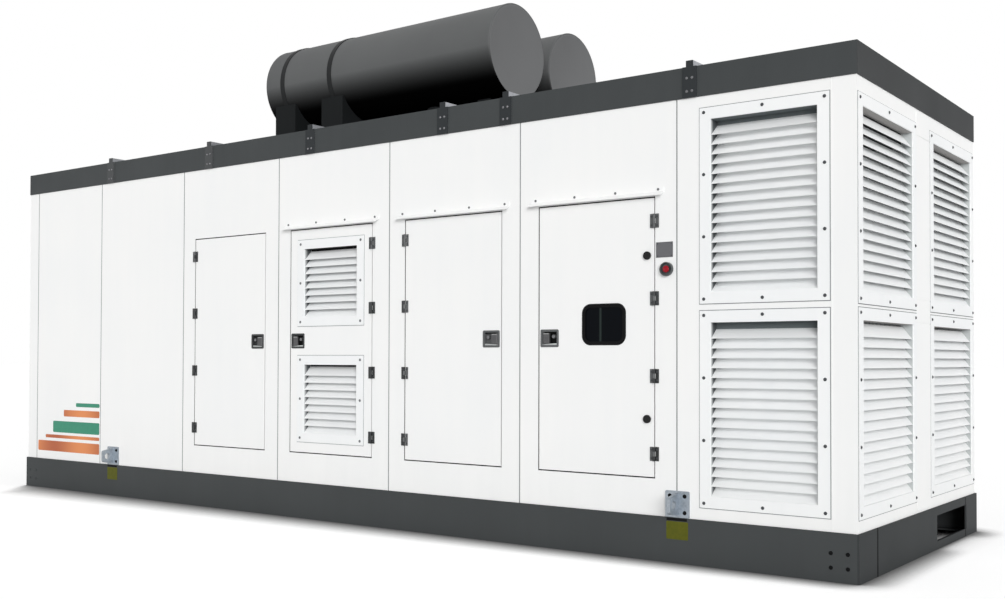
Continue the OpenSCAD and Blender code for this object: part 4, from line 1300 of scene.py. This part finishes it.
# %% Line the louvre sleeves
sleeve_inset, felt, felt_start, felt_stop = 0.0692, 0.0012, 0.007, 0.003
upper_baffle, lower_baffle = (0.026, 0.092), (0.038, 0.078)
baffle_sheet, baffle_clear = 0.0015, 0.002
linings = {
    "bay_louvres": ("_sleeve_lining", sleeve_felt, shaded_side, -1, 0.0),
    "door_2_louvres": ("_sleeve_lining", epdm_rubber, shaded_side, -1, 0.0),
    "right_end_louvres": ("_sleeve_tops", sleeve_primer, pale_primer, 1, 2 * felt),
    "left_end_louvres": ("_sleeve_tops", sleeve_primer, pale_primer, 1, 2 * felt),
}
for node, (top_name, top_material, side_material, way, shorter) in linings.items():
    width, depth, height = louvre_size(node)
    half_wide, half_tall = width / 2 - sleeve_inset, height / 2 - sleeve_inset
    near, far = sorted((way * half_wide, way * (half_wide - felt)))
    side = soften(block((near, felt_start, -half_tall), (far, depth - felt_stop, half_tall)),
                  0.0004, 1)
    top = soften(block((-half_wide, felt_start, half_tall - felt),
                       (half_wide - shorter, depth - felt_stop, half_tall)), 0.0004, 1)
    spots = louvre_spots(node, "face")
    parts = [copies(top, spots)]
    if node == "bay_louvres":
        middle_z = sum(place.z for place, turn in spots) / len(spots)
        for place, turn in spots:
            hang, back = upper_baffle if place.z > middle_z else lower_baffle
            baffle = soften(block((-half_wide + baffle_clear, back, half_tall - hang),
                                  (half_wide - baffle_clear, back + baffle_sheet,
                                   half_tall - felt)), 0.0004, 1)
            parts.append(copies(baffle, [(place, turn)]))
            discard(baffle)
    finish(join(parts), node + top_name, top_material, louvre_bodies[node])
    finish(copies(side, spots), node + "_sleeve_sides", side_material, louvre_bodies[node])
    discard(side, top)

# %% Line the edges of the doorways with black rubber, painted shade for the door gaps
door_gap, gap_shade_rubber, rubber_back = 0.008, 0.0015, 0.0015
edges = []
for door in doors:
    low, high = leaf_boxes[door]
    edges.append(flat_ring((low.x - door_gap, -inner_y, low.z - door_gap),
                           (high.x + door_gap, -inner_y, high.z + door_gap),
                           gap_shade_rubber, wall_thickness - rubber_back))
edges += [rear_copy(edge) for edge in list(edges)]
finish(soften(join(edges), 0.0004, 1), "doorway_edge_strips", epdm_rubber)

# %% [markdown]
# ## Covers on the end walls
#
# Between the end louvres a strip of cover plates closes the middle post. Four thin plates
# stand one above another with narrow joints, so each shows as a faint outline. They are
# modelled for one end and turned round for the other.

# %% Middle covers
cover_half, cover_rise, cover_joint = 0.140, 0.0025, 0.005
levels = [base_top + 0.012, 1.439, 1.582, 2.600, band_bottom - 0.008]
covers = []
for bottom, top in zip(levels, levels[1:]):
    cover = sheet_patch((-cover_half, -wall_x, bottom + cover_joint / 2),
                        (cover_half, -wall_x, top - cover_joint / 2), cover_rise, 0.004)
    covers.append(soften(cover, 0.0006, 1, 60))
cover_strip = join(covers)
finish(copies(cover_strip, [(Vector((0, 0, 0)), RIGHT), (Vector((0, 0, 0)), LEFT)]),
       "end_middle_covers", white_powder_coat)
discard(cover_strip)

# %% [markdown]
# ## Behind the louvres
#
# A wire mesh keeps birds and leaves out of each louvre. One long wire is a five-sided rod,
# and a net is that wire repeated both ways at 24 millimetres. The nets are seen only as a
# dark veil, so each wire keeps very few faces.

# %% Weave one net and hang it behind each louvre
wire_radius, mesh_size, net_gap, sleeve_border = 0.0011, 0.024, 0.0035, 0.045


def net(width, height):
    """A net of wires, standing in the plane y = 0 about the origin."""
    across, up = int(width / mesh_size), int(height / mesh_size)
    lying = rod((0, 0, 0), wire_radius, width, "X", sides=5)
    standing = rod((0, 0, 0), wire_radius, height, "Z", sides=5)
    parts = [copies(lying, [(Vector((0, 0, (k + 0.5 - up / 2) * mesh_size)), FRONT)
                            for k in range(up)]),
             copies(standing, [(Vector(((k + 0.5 - across / 2) * mesh_size,
                                        2 * wire_radius, 0)), FRONT)
                               for k in range(across)])]
    discard(lying, standing)
    return join(parts)


for node, body in louvre_bodies.items():
    width, depth, height = louvre_size(node)
    template = net(width - 2 * sleeve_border, height - 2 * sleeve_border)
    finish(copies(template, louvre_spots(node, "behind", net_gap)), node + "_nets",
           wire_mesh_steel, body)
    discard(template)

# %% [markdown]
# ## Acoustic lining
#
# The canopy is quiet because its walls, doors and roof are lined with rigid mineral-wool
# boards faced in black cloth. A board starts as a grid on its near side, is extruded back
# to its thickness, and each square of the near side is then inset and raised on its own,
# which leaves the narrow grooves of the quilting between the squares.


# %% A lining board
def lining_board(low, high, look, square=0.16, groove=0.006, puff=0.004):
    """A board between two corners, quilted on the side that looks along +X, -Y and so on."""
    low, high = Vector(low), Vector(high)
    size, near = high - low, (low + high) / 2
    axis, way = "XYZ".index(look[1]), (1 if look[0] == "+" else -1)
    near[axis] += way * (size[axis] / 2 - puff)
    turn = [(0, way * math.pi / 2, 0), (-way * math.pi / 2, 0, 0), (math.pi, 0, 0)][axis]
    wide, tall = [(size.z, size.y), (size.x, size.z), (size.x, size.y)][axis]
    clear_selection()
    bpy.ops.mesh.primitive_grid_add(x_subdivisions=max(1, round(wide / square)),
                                    y_subdivisions=max(1, round(tall / square)),
                                    size=1, location=near, rotation=turn)
    board = bpy.context.object
    board.scale = (wide, tall, 1)
    settle(board)
    back = Vector((0, 0, 0))
    back[axis] = -way * (size[axis] - puff)
    bpy.ops.object.mode_set(mode="EDIT")
    bpy.ops.mesh.select_all(action="SELECT")
    bpy.ops.mesh.extrude_region_move(TRANSFORM_OT_translate={"value": back})
    bpy.ops.mesh.select_all(action="SELECT")
    bpy.ops.mesh.normals_make_consistent(inside=False)
    bpy.ops.object.mode_set(mode="OBJECT")
    level = near[axis]
    choose(board, faces=lambda c, n: abs(c[axis] - level) < 1e-4 and abs(n[axis]) > 0.9)
    bpy.ops.mesh.inset(thickness=groove, depth=puff, use_individual=True)
    bpy.ops.object.mode_set(mode="OBJECT")
    return board


# %% Line the walls, the roof and the end piers
board_depth, post_clear, foot_clear = 0.030, 0.006, 0.020
post_boxes = [(low, high) for low, high in solids_of("seam_posts") if low.y < 0]
corner_inner = inner_x - 0.030
bay_edges = ([-corner_inner] + [edge for low, high in post_boxes for edge in (low.x, high.x)]
             + [corner_inner])
bays = [(left + post_clear, right - post_clear)
        for left, right in zip(bay_edges[::2], bay_edges[1::2])]
stop_low, stop_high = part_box("door_stops")
deck_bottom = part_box("roof_deck")[0].z
boards = []
for left, right in bays:
    has_door = any(left < leaf_boxes[d][0].x < right for d in doors)
    has_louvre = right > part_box("bay_louvres")[0].x
    if has_door:
        spans = [(base_top + foot_clear, stop_low.z - 0.004),
                 (stop_high.z + 0.004, deck_bottom - board_depth - 0.01)]
    elif has_louvre:
        spans = [(base_top + 0.012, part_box("bay_louvres")[0].z + 0.020)]
    else:
        spans = [(base_top + foot_clear, deck_bottom - board_depth - 0.01)]
    for bottom, top in spans:
        boards.append(lining_board((left, -inner_y, bottom),
                                   (right, -inner_y + board_depth, top), "+Y"))
        boards.append(lining_board((left, inner_y - board_depth, bottom),
                                   (right, inner_y, top), "-Y"))
    boards.append(lining_board((left, -inner_y + 0.05, deck_bottom - board_depth),
                               (right, inner_y - 0.05, deck_bottom), "-Z", square=0.2))
finish(join(boards), "wall_and_roof_lining", stone_wool_cloth, smooth=20)
print("bays lined", len(bays))

# %% Line the doors
board_inset, door_board_depth = 0.060, 0.030
window_clear = 0.025
for door in doors:
    low, high = leaf_boxes[door]
    left, right = low.x + board_inset, high.x - board_inset
    bottom, top = low.z + board_inset, high.z - board_inset
    spans = [(bottom, top)]
    if door == "door_2":
        louvres = solids_of("door_2_louvres")
        edges = sorted([louvres[0][1].z, louvres[1][0].z, louvres[0][0].z, louvres[1][1].z])
        spans = [(edges[1] - 0.02, edges[2] + 0.02)]
    if door == "door_4":
        spans = [(bottom, gasket_low.z - window_clear), (gasket_high.z + window_clear, top)]
    made = [lining_board((left, high.y, start), (right, high.y + door_board_depth, end), "+Y",
                         square=0.12)
            for start, end in spans]
    finish(join(made), door + "_lining", stone_wool_cloth, door, smooth=20)

# %% [markdown]
# ## Door seals
#
# A hollow rubber seal is pressed on the stop all round each doorway, and the shut leaf
# nearly touches it. It is a rounded ring, a little thinner than the gap, so that the leaf
# never scrapes it in the frame.

# %% Seal the doorways
seal_width, seal_rise, seal_edge = 0.014, 0.008, 0.0045
seals = []
for door in doors:
    low, high = leaf_boxes[door]
    ring = flat_ring((low.x - seal_edge, -inner_y, low.z - seal_edge),
                     (high.x + seal_edge, -inner_y, high.z + seal_edge), seal_width, seal_rise,
                     corner=0.010)
    seals.append(soften(ring, 0.0025, 2, 60))
seals += [rear_copy(seal) for seal in list(seals)]
finish(join(seals), "doorway_seals", epdm_rubber)

# %% [markdown]
# ## The roof from above
#
# The roof is folded sheet in lengths that meet over the posts. A joint that no beam or
# saddle crosses is closed by a pressed strip with a raised middle: a block whose top face
# is inset twice, the second time with a rise.

# %% Roof joint strips
strip_half, strip_rise, strip_clear = 0.045, 0.004, 0.06
joints_x = [(low.x + high.x) / 2 for low, high in post_boxes]
crossings = solids_of("roof_beams") + solids_of("silencer_saddles")
roof_inner_y = band_y - 0.075
strips = []
for joint_x in joints_x:
    if any(low.x - strip_clear < joint_x < high.x + strip_clear for low, high in crossings):
        continue
    strip = block((joint_x - strip_half, -roof_inner_y, roof_top),
                  (joint_x + strip_half, roof_inner_y, roof_top + strip_rise))
    choose(strip, faces=lambda c, n: n.z > 0.9)
    bpy.ops.mesh.inset(thickness=0.022, depth=0)
    bpy.ops.mesh.inset(thickness=0.004, depth=0.006)
    bpy.ops.object.mode_set(mode="OBJECT")
    strips.append(soften(strip, 0.0008, 1, 40))
print("roof strips", len(strips), "of", len(joints_x))
finish(join(strips), "roof_joint_strips", anthracite_epoxy)

# %% [markdown]
# ## Floor, light and background
#
# The floor is pale and matt. Seen straight by the camera, in a reflection or through
# glass, the background is plain white, and the floor is lifted a little towards it, so it
# stays white while it keeps the soft shadow. Ambient occlusion deepens that shadow where
# the object stands near, over a reach that widens towards the far end, and once more under
# the skid. The object itself is lit by a dimmer sky and one broad sun that stands a little
# to the right of the door side.


# %% Floor
def seen_straight(owner):
    """1 for a ray that comes from the camera, a reflection or glass, and otherwise 0."""
    ray = add_node(owner, "ShaderNodeLightPath").outputs
    either = add_node(owner, "ShaderNodeMath",
                      {0: ray["Is Camera Ray"], 1: ray["Is Glossy Ray"]}, operation="MAXIMUM")
    return add_node(owner, "ShaderNodeMath",
                    {0: either.outputs[0], 1: ray["Is Transmission Ray"]},
                    operation="MAXIMUM").outputs[0]


clear_selection()
bpy.ops.mesh.primitive_plane_add(size=400, location=(0, 0, -0.0005))
floor = settle(bpy.context.object)
floor.name = "studio_floor"
paper, shader, place = start_material("matt_studio_floor", Roughness=0.95,
                                      Specular_IOR_Level=0.0)
near_reach, far_reach = 0.22, 0.60
along = own_place(paper)[0]
reach = add_node(paper, "ShaderNodeMapRange",
                 {0: along, 1: base_x, 2: -base_x, 3: near_reach, 4: far_reach})
taper = add_node(paper, "ShaderNodeMapRange",
                 {0: along, 1: -base_x - 0.05, 2: 0.4 - base_x, 3: 0.01, 4: far_reach})
reach = add_node(paper, "ShaderNodeMath", {0: reach.outputs[0], 1: taper.outputs[0]},
                 operation="MINIMUM")
contact = add_node(paper, "ShaderNodeAmbientOcclusion", {1: reach.outputs[0]}, samples=16)
tone = add_node(paper, "ShaderNodeMapRange",
                {0: contact.outputs["AO"], 1: 0.5, 2: 1.0, 3: 0.38, 4: 1.0}, clamp=False)
tone = add_node(paper, "ShaderNodeMath", {0: tone.outputs[0], 1: 0.0}, operation="MAXIMUM")
shade = add_node(paper, "ShaderNodeMath", {0: tone.outputs[0], 1: 2.2}, operation="POWER")
covered = add_node(paper, "ShaderNodeAmbientOcclusion", {1: 2.0}, samples=8)
open_share = add_node(paper, "ShaderNodeMapRange",
                      {0: covered.outputs["AO"], 1: 0.15, 2: 0.42})
shade = add_node(paper, "ShaderNodeMath", {0: shade.outputs[0], 1: open_share.outputs[0]},
                 operation="MULTIPLY")
paper_tone = add_node(paper, "ShaderNodeMix",
                      {0: shade.outputs[0], 6: linear("000000"), 7: linear("cfcfcf")},
                      data_type="RGBA")
link(paper, paper_tone.outputs[2], shader.inputs["Base Color"])
lift = add_node(paper, "ShaderNodeMath", {0: seen_straight(paper), 1: 0.59},
                operation="MULTIPLY")
lift = add_node(paper, "ShaderNodeMath", {0: lift.outputs[0], 1: shade.outputs[0]},
                operation="MULTIPLY")
shader.inputs["Emission Color"].default_value = (1, 1, 1, 1)
link(paper, lift.outputs[0], shader.inputs["Emission Strength"])
floor.data.materials.append(paper)

# %% Sky and sun
world = bpy.data.worlds.new("studio_sky")
bpy.context.scene.world = world
world.use_nodes = True
sky = world.node_tree.nodes["Background"]
sky.inputs["Color"].default_value = (1, 1, 1, 1)
sky_light = 0.50
strength = add_node(world, "ShaderNodeMapRange",
                    {0: seen_straight(world), 3: sky_light, 4: 1.0})
link(world, strength.outputs[0], sky.inputs["Strength"])

clear_selection()
bpy.ops.object.light_add(type="SUN", location=(8, -8, 12))
sun = bpy.context.object
sun.name = "broad_sun"
sun.data.energy = 2.8
sun.data.angle = math.radians(36)
to_sun = Vector((0.62, -0.62, 0.16))
sun.rotation_euler = to_sun.to_track_quat("Z", "Y").to_euler()

# %% Lamp behind the bay louvres
bay_boxes = [box for box in solids_of("bay_louvres") if box[0].y < 0]
bay_low, bay_high = bay_boxes[0][0], bay_boxes[-1][1]
clear_selection()
bpy.ops.object.light_add(type="AREA", rotation=(-math.pi / 2, 0, 0), location=(
    (bay_low.x + bay_high.x) / 2, -wall_y + 0.24, (bay_low.z + bay_high.z) / 2))
lamp = bpy.context.object
lamp.name = "lamp_behind_the_bay_louvres"
lamp.data.shape = "RECTANGLE"
lamp.data.size = bay_high.x - bay_low.x
lamp.data.size_y = bay_high.z - bay_low.z
lamp.data.energy = 5.5
lamp.data.spread = math.radians(130)
lamp.visible_camera = lamp.visible_glossy = False
print("sky", sky_light, "sun", sun.data.energy, "lamp", lamp.data.energy)

# %% [markdown]
# ## Camera
#
# The camera stands near the radiator corner at chest height and looks along the side. A
# camera looks down its own -Z with +Y up, so its matrix is built from three directions:
# right, up and against the view. A small upward shift keeps the upright edges upright.

# %% Place the camera
yaw, pitch, roll = 0.6339, 0.0182, 0.0026
ahead = Vector((-math.sin(yaw) * math.cos(pitch), math.cos(yaw) * math.cos(pitch),
                math.sin(pitch)))
level_right = Vector((math.cos(yaw), math.sin(yaw), 0))
level_up = level_right.cross(ahead)
right = math.cos(roll) * level_right + math.sin(roll) * level_up
up = -math.sin(roll) * level_right + math.cos(roll) * level_up
clear_selection()
bpy.ops.object.camera_add(location=(6.102, -7.322, 1.209))
camera = bpy.context.object
camera.name = "corner_view"
camera.rotation_euler = Matrix((right, up, -ahead)).transposed().to_euler()
camera.data.sensor_width, camera.data.lens = 36, 40.956
camera.data.shift_y = 0.03876
camera.data.dof.use_dof = False
camera.data.clip_end = 1000
bpy.context.scene.camera = camera
bpy.context.scene.view_settings.view_transform = "Standard"
print("camera at", tuple(camera.location))

# %% [markdown]
# ## The last template
#
# The louvre bolt template, copied for the louvres and the outlet flanges, is removed.

# %% Remove the last template
discard(louvre_bolt)
